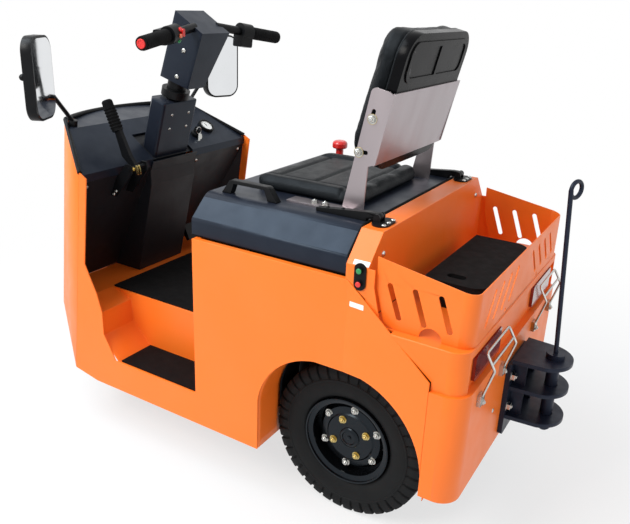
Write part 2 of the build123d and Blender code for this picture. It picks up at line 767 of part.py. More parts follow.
# Basket: a folded tray wall round three sides of the ledge, with slanted slots
basket_y = basket_w / 2
with BuildPart() as basket:
    with BuildSketch(Plane.XY.offset(ledge_z + fit)):
        with Locations((x((basket_rear + basket_front) / 2 + 30), 0)):
            Rectangle(basket_front - basket_rear + 60, basket_w)
        fillet(vertices().group_by(Axis.X)[0], basket_r)
        offset(amount=-panel, mode=Mode.SUBTRACT)
    extrude(amount=basket_top_front - ledge_z)
    with BuildSketch(across(basket_y)):
        Polygon(*side([
            (-140, ledge_z), (-108, 592), (basket_front - 2, 674), (basket_front, basket_top_front),
            (basket_rear, basket_top_rear), (basket_rear, ledge_z)]), align=None)
    extrude(amount=basket_w, mode=Mode.INTERSECT)
    with BuildSketch(across(basket_y + 1)):
        for k in range(side_slots):
            with Locations((x(side_slot_ahead - side_slot_pitch * k), slot_z)):
                SlotCenterToCenter(side_slot_run[0], slot_w, rotation=side_slot_run[1])
        with Locations((x(notch_ahead), ledge_z)):
            Circle(notch_r)
    extrude(amount=basket_w + 2, mode=Mode.SUBTRACT)
    with BuildSketch(Plane.YZ.offset(x(basket_rear) - 1)):
        for sign in (1, -1):
            for k in range(rear_slots):
                with Locations((sign * (rear_slot_y + rear_slot_pitch * k), slot_z - 4)):
                    SlotCenterToCenter(rear_slot_run[0], slot_w, rotation=90 + sign * rear_slot_run[1])
            with Locations((sign * rear_hole[0], rear_hole[1])):
                Circle(rear_hole_d / 2)
    extrude(amount=basket_r, mode=Mode.SUBTRACT)
save(basket, "basket")

# Chassis: two rails, cross members, the fork's head tube and the plate behind the hitch
rail_y = 128.0
rail_z = (286.0, 340.0)
rail_front = wheelbase + 106.0
with BuildPart() as chassis:
    for sign in (1, -1):
        with BuildSketch(across(max(sign * rail_y, sign * (rail_y - 30)))):
            Polygon(*side([(tail_ahead + 20, rail_z[0]), (tail_ahead + 20, rail_z[1]), (rail_front, rail_z[1]),
                           (rail_front, rail_z[1] - 30), (wheelbase - 74, rail_z[0])]), align=None)
        extrude(amount=30)
    for ahead in (box_ahead + 30, 150, -150, wheelbase - 134):
        with BuildSketch(Plane.XY.offset(rail_z[0] + 6)):
            with Locations((x(ahead), 0)):
                Rectangle(40, 2 * (rail_y - 30))
        extrude(amount=rail_z[1] - rail_z[0] - 12)
    with BuildSketch(Plane.XY.offset(floor_top - sheet - fit - 46)):
        with Locations((x(wheelbase), 0)):
            Rectangle(120, 2 * rail_y)
            Circle(stem_d / 2 + 1, mode=Mode.SUBTRACT)
    extrude(amount=46)
    for sign in (1, -1):
        with BuildSketch(Plane.XY.offset(rail_z[1] - 10)):
            with Locations((x(wheelbase), sign * (rail_y - 15))):
                Rectangle(120, 30)
        extrude(amount=20)
    with BuildSketch(Plane.YZ.offset(x(tail_ahead + 20))):
        with Locations((0, 330)):
            Rectangle(280, 150)
    extrude(amount=12)
save(chassis, "chassis")

# Heavy masses inside, at their real size and place
battery_ahead = (20.0, 390.0)
battery_w = 330.0
battery_h = 290.0
with BuildPart() as battery:
    with BuildSketch(Plane.XY.offset(rail_z[1] + fit)):
        with Locations((x((battery_ahead[0] + battery_ahead[1]) / 2), 0)):
            Rectangle(battery_ahead[1] - battery_ahead[0], battery_w)
    extrude(amount=battery_h)
save(battery, "battery")

gear_d = 172.0
gear_w = 90.0
gear_y = 70.0
motor_d = 148.0
motor_len = 210.0
with BuildPart() as drive:
    with BuildSketch(across(track / 2 - 28)):
        with Locations((x(0), wheel_z)):
            Circle(34)
    extrude(amount=track - 56)
    with BuildSketch(across(gear_y)):
        with Locations((x(0), wheel_z)):
            Circle(gear_d / 2)
    extrude(amount=gear_w)
    with BuildSketch(Plane.YZ.offset(x(40))):
        with Locations((25, wheel_z)):
            Circle(motor_d / 2)
    extrude(amount=motor_len)
    for sign in (1, -1):
        with BuildSketch(Plane.XY.offset(wheel_z + 20)):
            with Locations((x(0), sign * (rail_y - 15))):
                Rectangle(70, 44)
        extrude(amount=rail_z[0] - wheel_z - 20)
    for sign in (1, -1):
        with BuildSketch(across(max(sign * (track / 2 - 29), sign * (track / 2 + 15.5)))):
            with Locations((x(0), wheel_z)):
                Circle(20)
        extrude(amount=44.5)
save(drive, "drive_axle")

# Hitch: a bolted plate, three rounded tongues and the webs between them
with BuildPart() as hitch:
    with BuildSketch(Plane.YZ.offset(x(tail_ahead) - 12)):
        with Locations((0, (hitch_plate_z[0] + hitch_plate_z[1]) / 2 + 6)):
            Rectangle(hitch_w + 16, hitch_plate_z[1] - hitch_plate_z[0] + 44)
            fillet(vertices(), 8)
    extrude(amount=12 - fit)
    for z in hitch_z:
        with BuildSketch(Plane.XY.offset(z)):
            with BuildLine() as plan:
                t1 = Line((x(tail_ahead) - 10, -hitch_w / 2), (x(pin_ahead) + 6, -hitch_w / 2 + 6))
                t2 = ThreePointArc(t1 @ 1, (x(hitch_ahead), 0), (x(pin_ahead) + 6, hitch_w / 2 - 6))
                t3 = Line(t2 @ 1, (x(tail_ahead) - 10, hitch_w / 2))
                Line(t3 @ 1, t1 @ 0)
            make_face(plan.edges())
            with Locations((x(pin_ahead), 0)):
                Circle(pin_d / 2 + pin_gap, mode=Mode.SUBTRACT)
        extrude(amount=hitch_t)
    for sign in (1, -1):
        with BuildSketch(across(sign * 46 + 5)):
            Polygon(*side([(tail_ahead - 10, hitch_z[0]), (tail_ahead - 10, hitch_z[2] + 2),
                           (tail_ahead - 42, hitch_z[2] + 2), (tail_ahead - 42, hitch_z[0])]), align=None)
        extrude(amount=10)
save(hitch, "hitch")

# Tow pin: collar, pin, leaning pull rod and its finger loop
collar_z = hitch_z[2] + hitch_t
with BuildPart() as tow_pin:
    with BuildSketch(Plane.XY.offset(pin_low)):
        with Locations((x(pin_ahead), 0)):
            Circle(pin_d / 2)
    extrude(amount=collar_z - pin_low + 4)
    chamfer(edges().group_by(Axis.Z)[0], 5)
    with BuildSketch(Plane.XY.offset(collar_z + fit)):
        with Locations((x(pin_ahead), 0)):
            Circle(22)
    extrude(amount=14)
    rod_dir = Vector(sin(radians(pin_lean)), 0, cos(radians(pin_lean)))
    rod_foot = Vector(x(pin_ahead), 0, collar_z + 8)
    rod_len = (loop_z - rod_foot.Z) / rod_dir.Z
    with BuildSketch(Plane(origin=rod_foot, z_dir=rod_dir)):
        Circle(pin_rod_d / 2)
    extrude(amount=rod_len)
    loop_side = Vector(-cos(radians(loop_turn)), -sin(radians(loop_turn)), 0)
    loop_at = rod_foot + rod_dir * rod_len + loop_side * loop_r
    with Locations(Plane(origin=loop_at, x_dir=loop_side, z_dir=(-loop_side.Y, loop_side.X, 0))):
        Torus(loop_r, pin_rod_d / 2 - 0.5)
save(tow_pin, "tow_pin")

# Lid: a folded cover over the seat box, open below
lid_half, lid_top_half = lid_w / 2, lid_top_w / 2
lid_long = lid_ahead[1] - lid_ahead[0]


def lid_profile(inset):
    """Cross-section of the lid with rounded bends, its walls moved inwards by inset."""
    half_width, top_half = lid_half - inset, lid_top_half - inset / 2
    foot, bend, top = lid_z[0], lid_z[1] - inset / 2, lid_z[2] - inset
    Polygon((-half_width, foot), (-half_width, bend), (-top_half, top),
            (top_half, top), (half_width, bend), (half_width, foot), align=None)
    fillet(vertices().group_by(Axis.Y)[-1], 40)
    fillet(vertices().filter_by_position(Axis.Y, bend - 1, bend + 1), 12)


with BuildPart() as lid:
    with BuildSketch(Plane.YZ.offset(x(lid_ahead[0]))):
        lid_profile(0)
    extrude(amount=lid_long)
    with BuildSketch(Plane.YZ.offset(x(lid_ahead[0]) + panel)):
        lid_profile(panel)
    extrude(amount=lid_long - 2 * panel, mode=Mode.SUBTRACT)
save(lid, "lid")

# Lift handle: a strap bow with two feet
with BuildPart() as handle:
    with BuildSketch(across(lid_top_half - handle_inset + handle_w / 2)):
        low, high, toe = lid_z[2] + fit, lid_z[2] + fit + handle_h, handle_foot / 2
        rear_end, front_end = x(handle_ahead[0]), x(handle_ahead[1])
        with BuildLine() as bow:
            Polyline((rear_end - toe, low), (rear_end + handle_lean, high), (front_end - handle_lean, high),
                     (front_end + toe, low), (front_end - toe, low), (front_end - 2 * handle_lean, high - handle_t),
                     (rear_end + 2 * handle_lean, high - handle_t), (rear_end + toe, low), close=True)
        make_face(bow.edges())
        fillet(vertices().group_by(Axis.Y)[-1], handle_lean)
    extrude(amount=handle_w)
save(handle, "lid_handle")

# Hinges: arms on the lid turn on pins between the ears of plates on the beam
with BuildPart() as arms:
    for sign in (1, -1):
        with BuildSketch(across(sign * hinge_y + arm_w / 2)):
            Polygon(*side([
                (hinge_ahead, hinge_z - hinge_eye_r), (lid_ahead[0] + 6, hinge_z - hinge_eye_r),
                (lid_ahead[0] + 6, lid_z[2] + fit), (arm_ahead, lid_z[2] + fit), (arm_ahead, lid_z[2] + 9),
                (hinge_ahead + 20, hinge_z + hinge_eye_r), (hinge_ahead, hinge_z + hinge_eye_r)]), align=None)
            with Locations((x(hinge_ahead), hinge_z)):
                Circle(hinge_eye_r)
                Circle(hinge_pin_d / 2 + fit, mode=Mode.SUBTRACT)
        extrude(amount=arm_w)
save(arms, "lid_hinge_arms")

plate_ahead = -43.0
plate_size = (70.0, 40.0)
plate_t = 4.0
ear_in = arm_w / 2 + 1.5
with BuildPart() as bases:
    for sign in (1, -1):
        with BuildSketch(Plane.XY.offset(beam_z + fit)):
            with Locations((x(plate_ahead), sign * hinge_y)):
                SlotOverall(plate_size[0], plate_size[1], rotation=90)
        extrude(amount=plate_t)
        for ear in (1, -1):
            with BuildSketch(across(sign * hinge_y + max(ear * ear_in, ear * (ear_in + ear_t)))):
                with Locations((x(hinge_ahead), hinge_z)):
                    Circle(hinge_eye_r)
                with Locations((x(hinge_ahead), (hinge_z + beam_z) / 2 + 1)):
                    Rectangle(2 * hinge_eye_r, hinge_z - beam_z - 2)
            extrude(amount=ear_t)
        with BuildSketch(across(sign * hinge_y + ear_in + ear_t)):
            with Locations((x(hinge_ahead), hinge_z)):
                Circle(hinge_pin_d / 2)
        extrude(amount=2 * (ear_in + ear_t))
save(bases, "lid_hinge_bases")

# Stop button on the lid's right front corner
with BuildPart() as stop:
    knob_low, knob_top, knob_r = lid_z[2] + fit, lid_z[2] + knob_h, knob_d / 2
    with BuildSketch(Plane(origin=(x(knob_at[0]), knob_at[1], 0), x_dir=(1, 0, 0), z_dir=(0, -1, 0))):
        Polygon((0, knob_low), (knob_r / 2, knob_low), (knob_r / 2, knob_top - 22), (knob_r - 2, knob_top - 22),
                (knob_r, knob_top - 19), (knob_r, knob_top - 8), (knob_r - 3, knob_top - 3),
                (knob_r - 8, knob_top), (0, knob_top), align=None)
    revolve(axis=Axis((x(knob_at[0]), knob_at[1], 0), (0, 0, 1)))
save(stop, "stop_button")

# Seat: cushion and back pad, the back's shell and the steel bracket
with BuildPart() as cushion:
    with BuildSketch(Plane.XY.offset(lid_z[2] + fit)):
        with Locations((x((cushion_ahead[0] + cushion_ahead[1]) / 2), 0)):
            RectangleRounded(cushion_ahead[1] - cushion_ahead[0], cushion_w, 45)
    extrude(amount=cushion_t)
save(cushion, "seat_cushion")

back_normal = Vector(cos(radians(back_lean)), 0, sin(radians(back_lean)))
back_plane = Plane(origin=(x(back_foot[0]), 0, back_foot[1]), x_dir=(0, 1, 0), z_dir=back_normal)
with BuildPart() as back_shell:
    with BuildSketch(back_plane.offset(bracket_t)):
        with Locations((0, back_h / 2)):
            RectangleRounded(back_w, back_h, 60)
    extrude(amount=shell_t)
    with BuildSketch(back_plane.offset(bracket_t - frame_rise)):
        with Locations((0, back_h - frame_edge - frame_h / 2)):
            RectangleRounded(back_w - 2 * frame_edge, frame_h, 30)
            RectangleRounded(back_w - 2 * (frame_edge + frame_w), frame_h - 2 * frame_w, 18, mode=Mode.SUBTRACT)
            Rectangle(frame_w, frame_h)
    extrude(amount=frame_rise + 1)
save(back_shell, "backrest_shell")

with BuildPart() as back_pad:
    with BuildSketch(back_plane.offset(bracket_t + shell_t + fit)):
        with Locations((0, back_h / 2)):
            RectangleRounded(back_w - 14, back_h - 14, 55)
    extrude(amount=pad_t)
save(back_pad, "backrest_pad")

bracket_half = bracket_w / 2
back_plate = (22.0, 190.0)
foot_plate = (60.0, 225.0)
foot_w = 40.0
bracket_edge = ((31, 886), (13, 892), (-23, 1054), (32, 1066))
bracket_r = 14.0
bracket_slot = (32.0, 10.0)
bracket_slots = ((27.0, 1001.0, 102.0), (49.0, 917.0, 0.0))
with BuildPart() as bracket:
    with BuildSketch(back_plane):
        with Locations((0, (back_plate[0] + back_plate[1]) / 2)):
            Rectangle(bracket_w, back_plate[1] - back_plate[0])
    extrude(amount=bracket_t - fit)
    for sign in (1, -1):
        with BuildSketch(across(max(sign * bracket_half, sign * (bracket_half - bracket_t)))):
            Polygon(*side([*bracket_edge, (92, lid_z[2] + fit), (36, lid_z[2] + fit)]), align=None)
            fillet(vertices().group_by(Axis.Y)[-2:], bracket_r)
            for ahead, z, turn in bracket_slots:
                with Locations((x(ahead), z)):
                    SlotOverall(bracket_slot[0], bracket_slot[1], rotation=turn, mode=Mode.SUBTRACT)
        extrude(amount=bracket_t)
        with BuildSketch(Plane.XY.offset(lid_z[2] + fit)):
            with Locations((x((foot_plate[0] + foot_plate[1]) / 2), sign * (bracket_half + foot_w / 2 - bracket_t))):
                Rectangle(foot_plate[1] - foot_plate[0], foot_w)
        extrude(amount=bracket_t)
save(bracket, "seat_bracket")

# Small controls: gauge and key switch, handbrake, pedal
console_face = Plane(origin=(x(console_low[0]), 0, console_low[1]), x_dir=(0, -1, 0),
                     z_dir=(console_low[1] - console_bend[1], 0, console_bend[0] - console_low[0]))
with BuildPart() as dials:
    with BuildSketch(console_face.offset(fit)):
        with Locations((229, 78)):
            Circle(27)
        with Locations((153, 56)):
            Circle(15)
    extrude(amount=7)
    with BuildSketch(console_face.offset(6)):
        with Locations((153, 56)):
            Rectangle(5, 22)
    extrude(amount=22)
save(dials, "instruments")

brake_y = 200.0
brake_pivot = (wheelbase - 174.0, 772.0)
brake_cam = (wheelbase - 138.0, 803.0)
brake_top = (wheelbase - 69.0, 948.0)
brake_grip = 90.0
brake_grip_d = 30.0
brake_cheek = 30.0
brake_foot_z = 684.0
lever_run = Vector(brake_top[0] - brake_cam[0], 0, brake_top[1] - brake_cam[1]).normalized()


def kick_face(z):
    """Distance ahead of the lower panel's face at a height, less a fit."""
    slope = (toe_ahead - console_low[0] - 3) / (console_low[1] - 23 - floor_top - 1)
    return console_low[0] + 3 - fit + (console_low[1] - 23 - z) * slope


with BuildPart() as brake:
    grip_foot = Vector(x(brake_top[0]), brake_y, brake_top[1]) - lever_run * brake_grip
    with BuildSketch(across(brake_y + 6)):
        Polygon(*side([(brake_pivot[0] - 11, brake_pivot[1] - 8), (brake_cam[0] - 16, brake_cam[1])]),
                (grip_foot.X - 9, grip_foot.Z + 10), (grip_foot.X + 9, grip_foot.Z + 2),
                *side([(brake_cam[0] + 14, brake_cam[1] - 6), (brake_pivot[0] + 10, brake_pivot[1] - 8)]), align=None)
    extrude(amount=12)
    with BuildSketch(Plane(origin=grip_foot, z_dir=lever_run)):
        Circle(brake_grip_d / 2)
    extrude(amount=brake_grip)
    chamfer(edges().group_by(Axis.Z)[-1], 5)
    for shift in (brake_cheek, -brake_cheek):
        with BuildSketch(across(brake_y + shift + 2)):
            Polygon(*side([
                (brake_pivot[0] - 14, brake_pivot[1] - 10), (brake_pivot[0] - 8, brake_pivot[1] + 12),
                (brake_pivot[0] + 10, brake_pivot[1] + 12), (console_low[0] - 3, console_low[1] - 21),
                (kick_face(console_low[1] - 25), console_low[1] - 25), (kick_face(brake_foot_z), brake_foot_z),
                (kick_face(brake_foot_z) - 26, brake_foot_z)]), align=None)
        extrude(amount=4)
    with BuildSketch(across(brake_y + brake_cheek + 4)):
        with Locations((x(brake_pivot[0]), brake_pivot[1])):
            Circle(6)
    extrude(amount=2 * brake_cheek + 8)
save(brake, "handbrake")

panel_face = Plane(origin=(x(console_low[0] + 3), 0, console_low[1] - 23), x_dir=(0, -1, 0),
                   z_dir=(floor_top + 1 - console_low[1] + 23, 0, console_low[0] + 3 - toe_ahead))
pedal_at = (165.0, -290.0)
pedal_reach = 62.0
pedal_pad = panel_face.offset(pedal_reach).location * Location((pedal_at[0], pedal_at[1], 0))
with BuildPart() as pedal:
    with BuildSketch(panel_face.offset(fit)):
        with Locations(pedal_at):
            RectangleRounded(44, 60, 6)
    extrude(amount=5)
    with BuildSketch(panel_face.offset(fit)):
        with Locations(pedal_at):
            Circle(7)
    extrude(amount=pedal_reach)
    with BuildSketch(Plane(origin=pedal_pad.position, x_dir=(0, -1, 0), z_dir=(-1, 0, 0.45))):
        RectangleRounded(72, 56, 6)
    extrude(amount=7, both=True)
save(pedal, "brake_pedal")

# Mirrors: bent arm, housing with a rounded outline, and the glass
band_rise, band_run = rim_z - 2 - console_bend[1], nose_top - console_bend[0]
band_at_foot = console_bend[1] + (arm_foot[0] - console_bend[0]) * band_rise / band_run


def mirror_face(sign, ahead, height, turn):
    """Centre and rearward normal of a mirror's face, its outer edge on the span."""
    lean_in = radians(turn)
    centre_y = mirror_span / 2 - mirror_w / 2 * cos(lean_in) - mirror_t * sin(lean_in)
    return Vector(x(ahead), sign * centre_y, height), Vector(-cos(lean_in), -sign * sin(lean_in), 0)


with BuildPart() as mirrors:
    for sign, ahead, height, turn in mirror_places:
        centre, face = mirror_face(sign, ahead, height, turn)
        with BuildSketch(Plane(origin=centre, x_dir=(-face.Y, face.X, 0), z_dir=-face)):
            RectangleRounded(mirror_w, mirror_h, mirror_r)
        extrude(amount=mirror_t)
        foot = Vector(x(arm_foot[0]), sign * arm_foot[1], arm_foot[2])
        knee = centre + Vector(44, -sign * 40, -30)
        with BuildSketch(Plane(origin=foot, z_dir=knee - foot)):
            Circle(arm_d / 2)
        extrude(amount=(knee - foot).length)
        reach = centre - face * (mirror_t - 8) + Vector(0, sign * 10, 0)
        with BuildSketch(Plane(origin=knee, z_dir=reach - knee)):
            Circle(arm_d / 2)
        extrude(amount=(reach - knee).length)
        with Locations(knee):
            Sphere(arm_d / 2 + 2)
        with BuildSketch(Plane(origin=(foot.X, foot.Y, band_at_foot + fit), z_dir=(-band_rise, 0, band_run))):
            Circle(arm_d)
        extrude(amount=foot.Z - band_at_foot + 4)
save(mirrors, "mirror_housings")

with BuildPart() as glasses:
    for sign, ahead, height, turn in mirror_places:
        centre, face = mirror_face(sign, ahead, height, turn)
        with BuildSketch(Plane(origin=centre + face * 0.05, x_dir=(face.Y, -face.X, 0), z_dir=face)):
            RectangleRounded(mirror_w - 2 * mirror_rim, mirror_h - 2 * mirror_rim, mirror_r - mirror_rim)
        extrude(amount=2)
save(glasses, "mirror_glasses")

# Tail lamps in the band and their wire guards, each bent from a foot on the skirt up and over the lamp
with BuildPart() as lamps:
    with BuildSketch(Plane.YZ.offset(x(ledge_rear) + 1)):
        with Locations((lamp_y, (shelf_z + band_top) / 2), (-lamp_y, (shelf_z + band_top) / 2)):
            RectangleRounded(lamp_w, 62, 8)
    extrude(amount=band_depth - 1 - fit)
save(lamps, "tail_lamps")

with BuildPart() as guards:
    ends = (guard_w / 2 - guard_y, -guard_w / 2 - guard_y)
    with BuildLine():
        FilletPolyline(*[(x(ahead), ends[0], z) for ahead, z in guard_side],
                       *[(x(ahead), ends[1], z) for ahead, z in reversed(guard_side)], radius=guard_bend)
    rise = Vector(guard_side[1][0] - guard_side[0][0], 0, guard_side[1][1] - guard_side[0][1])
    with BuildSketch(Plane(origin=(x(guard_side[0][0]), ends[0], guard_side[0][1]), z_dir=rise)):
        Circle(guard_d / 2)
    sweep()
    with BuildSketch(across(ends[0])):
        with Locations((x(guard_bar[0]), guard_bar[1])):
            Circle(guard_bar_d / 2)
    extrude(amount=guard_w)
    with BuildSketch(Plane.YZ.offset(x(tail_ahead) - fit)):
        for y in ends:
            with Locations((y, guard_side[0][1] - 3)):
                Rectangle(guard_clip[0], guard_clip[0])
    extrude(amount=-guard_clip[1])
    mirror(about=Plane.XZ)
save(guards, "lamp_guards")
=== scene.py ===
import json
import math

import bmesh
import bpy
import numpy as np
from mathutils import Matrix, Vector
from mathutils.bvhtree import BVHTree

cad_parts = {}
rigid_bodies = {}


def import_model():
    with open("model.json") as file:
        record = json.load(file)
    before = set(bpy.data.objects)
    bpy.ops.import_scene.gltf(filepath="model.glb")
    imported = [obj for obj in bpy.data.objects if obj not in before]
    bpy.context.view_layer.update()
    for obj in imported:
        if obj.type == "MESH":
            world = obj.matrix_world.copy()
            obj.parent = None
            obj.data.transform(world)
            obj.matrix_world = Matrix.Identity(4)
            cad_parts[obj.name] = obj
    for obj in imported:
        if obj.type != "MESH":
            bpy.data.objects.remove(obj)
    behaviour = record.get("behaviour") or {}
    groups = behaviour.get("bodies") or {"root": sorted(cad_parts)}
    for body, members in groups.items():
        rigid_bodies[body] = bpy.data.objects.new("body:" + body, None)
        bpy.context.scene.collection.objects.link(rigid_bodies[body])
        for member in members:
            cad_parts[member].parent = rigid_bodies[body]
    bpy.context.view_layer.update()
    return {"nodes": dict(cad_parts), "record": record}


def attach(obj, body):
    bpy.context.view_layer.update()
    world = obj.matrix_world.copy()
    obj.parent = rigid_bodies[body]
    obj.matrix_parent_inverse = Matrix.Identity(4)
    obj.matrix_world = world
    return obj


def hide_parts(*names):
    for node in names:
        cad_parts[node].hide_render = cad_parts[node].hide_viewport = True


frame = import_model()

node = frame["nodes"]
CHASSIS, LID, BARS = "chassis_body", "lid_body", "steering_body"
SIDES = (("left", 1), ("right", -1))
AHEAD, LEFT, UP = (1, 0, 0), (0, 1, 0), (0, 0, 1)
RIGHT, DOWN = (0, -1, 0), (0, 0, -1)

# Lengths are in mm: ahead of the rear axle, to the left of the tug's middle, up from the ground
REAR_AXLE = -344.0       # the rear axle's own place in the frame
WHEELBASE = 934
REAR_WHEEL_LEFT = 234    # the middle of the left rear tyre
REAR_RADIUS = 207.5      # a tyre's radius, which is also its axle's height
FRONT_RADIUS = 152.5
LID_TOP = 779.5


# Places and shapes

def at(ahead, left, up):
    """Points in metres from millimetres ahead of the rear axle, to the left and up."""
    x, y, z = np.broadcast_arrays(np.asarray(ahead, float) + REAR_AXLE, left, up)
    return np.stack([x, y, z], -1).astype(float) / 1000


def unit(v):
    """Vectors divided by their lengths."""
    v = np.asarray(v, float)
    return v / np.linalg.norm(v, axis=-1, keepdims=True)


def spokes(axis):
    """Two directions square to an axis and to each other."""
    axis = unit(axis)
    first = unit(np.cross(axis, UP if abs(axis[2]) < 0.9 else AHEAD))
    return first, np.cross(axis, first)


def quads(rows, cols, wrap_rows=False, wrap_cols=False):
    """Four-sided faces of a grid of points kept row by row; a wrapped direction joins its last line to its first
    one."""
    r = np.arange(rows if wrap_rows else rows - 1)[:, None]
    c = np.arange(cols if wrap_cols else cols - 1)[None, :]
    r2, c2 = (r + 1) % rows, (c + 1) % cols
    corners = np.broadcast_arrays(r * cols + c, r * cols + c2, r2 * cols + c2, r2 * cols + c)
    return np.stack(corners, -1).reshape(-1, 4)


def turned(profile, centre, axis, count=32, phase=0.0):
    """A profile of (radius, height) in mm turned about an axis:
    point = centre + height * axis + radius * spoke(angle)."""
    first, second = spokes(axis)
    radius, height = np.asarray(profile, float).T[..., None] / 1000
    angle = phase + np.arange(count) * 2 * math.pi / count
    spoke = np.cos(angle)[:, None] * first + np.sin(angle)[:, None] * second
    points = np.asarray(centre) + height[..., None] * unit(axis) + radius[..., None] * spoke
    return points, quads(len(profile), count, wrap_cols=True)


def tube(path, radius, count=12, closed=False, ref=UP, squash=1.0):
    """A round section carried along a path: each ring lies square to the path's direction, its first spoke nearest
    ref. The radius in mm may change along the path; squash flattens the section across ref."""
    path = np.asarray(path, float)
    if closed:
        ahead = np.roll(path, -1, 0) - np.roll(path, 1, 0)
    else:
        ahead = np.gradient(path, axis=0)
    ahead = unit(ahead)
    ref = np.asarray(ref, float)
    first = unit(ref - (ahead @ ref)[:, None] * ahead)
    second = np.cross(ahead, first)
    angle = np.arange(count) * 2 * math.pi / count
    reach = np.broadcast_to(np.asarray(radius, float) / 1000, len(path))[:, None, None]
    ring = np.cos(angle)[None, :, None] * first[:, None] \
        + squash * np.sin(angle)[None, :, None] * second[:, None]
    points = path[:, None] + reach * ring
    if not closed:
        start, end = (np.repeat(path[[k], None], count, 1) for k in (0, -1))
        points = np.concatenate([start, points, end])
    return points, quads(len(points), count, wrap_rows=closed, wrap_cols=True)


def rounded(width, height, radius, corner=6):
    """Outline of a rectangle with quarter-circle corners, in mm round its middle."""
    turn = np.linspace(0, math.pi / 2, corner)
    start = np.arange(4)[:, None] * math.pi / 2
    cx = np.array([1, -1, -1, 1])[:, None] * (width / 2 - radius)
    cy = np.array([1, 1, -1, -1])[:, None] * (height / 2 - radius)
    x, y = cx + radius * np.cos(start + turn), cy + radius * np.sin(start + turn)
    return np.stack([x, y], -1).reshape(-1, 2)


def plate(outline, centre, right, up, rows):
    """An outline stacked into a closed plate: each row is (share of the outline's size, height along the normal in
    mm), and the first and last rows shrink to a point.
    Point = centre + share * (u * right + v * up) + height * normal."""
    right, up = unit(right), unit(up)
    normal = np.cross(right, up)
    share, height = np.array([(0, rows[0][1]), *rows, (0, rows[-1][1])], float).T
    flat = outline[:, :1] / 1000 * right + outline[:, 1:] / 1000 * up
    points = np.asarray(centre) + share[:, None, None] * flat + height[:, None, None] / 1000 * normal
    return points, quads(len(share), len(outline), wrap_cols=True)


def slab(outline, centre, right, up, thick, edge=0.6):
    """A flat plate of an outline with a softened front edge, standing on its back face."""
    half = np.abs(outline).max()
    return plate(outline, centre, right, up, [(1, 0), (1, thick - edge), (1 - edge / half, thick)])


def put(name, shapes, body, skin, sharp=35.0, flat=False):
    """One object from a list of (points, faces) surfaces: doubles merged, faces turned outwards, riding on its
    body. Edges sharper than an angle in degrees stay sharp; flat leaves every face flat."""
    if isinstance(shapes, tuple):
        shapes = [shapes]
    counts = [p.size // 3 for p, _ in shapes]
    starts = np.cumsum([0] + counts[:-1])
    points = np.concatenate([p.reshape(-1, 3) for p, _ in shapes])
    faces = np.concatenate([f + s for (_, f), s in zip(shapes, starts)])
    mesh = bpy.data.meshes.new(name)
    mesh.vertices.add(len(points))
    mesh.vertices.foreach_set("co", points.ravel())
    mesh.loops.add(faces.size)
    mesh.loops.foreach_set("vertex_index", faces.ravel())
    mesh.polygons.add(len(faces))
    mesh.polygons.foreach_set("loop_start", np.arange(len(faces)) * 4)
    mesh.update(calc_edges=True)
    close(mesh)
    mesh.polygons.foreach_set("use_smooth", np.full(len(mesh.polygons), not flat))
    mesh.set_sharp_from_angle(angle=math.radians(sharp))
    piece = bpy.data.objects.new(name, mesh)
    bpy.context.scene.collection.objects.link(piece)
    dress(piece, body, skin)
    return piece


def close(mesh):
    """Merge doubled points and turn every face outwards."""
    bm = bmesh.new()
    bm.from_mesh(mesh)
    bmesh.ops.remove_doubles(bm, verts=bm.verts, dist=2e-6)
    bmesh.ops.recalc_face_normals(bm, faces=bm.faces)
    bm.to_mesh(mesh)
    bm.free()


def dress(piece, body, skin):
    """Give a piece its finish and let it ride on its body."""
    piece.data.materials.clear()
    piece.data.materials.append(skin)
    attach(piece, body)


def dent(value, places, width):
    """Soft grooves: 1 on each place and falling to 0 at about a width to each side."""
    gap = (np.asarray(value)[..., None] - np.asarray(places)) / width
    return np.exp(-gap ** 2).max(-1)


def smooth_step(value, low, high):
    """0 below low, 1 above high and a smooth slope between."""
    t = np.clip((value - low) / (high - low), 0, 1)
    return t * t * (3 - 2 * t)


# Finishes

def srgb(r, g, b):
    """Screen colour from 0 to 255 as linear light."""
    c = np.array([r, g, b]) / 255
    c = np.where(c <= 0.04045, c / 12.92, ((c + 0.055) / 1.055) ** 2.4)
    return (*c, 1.0)


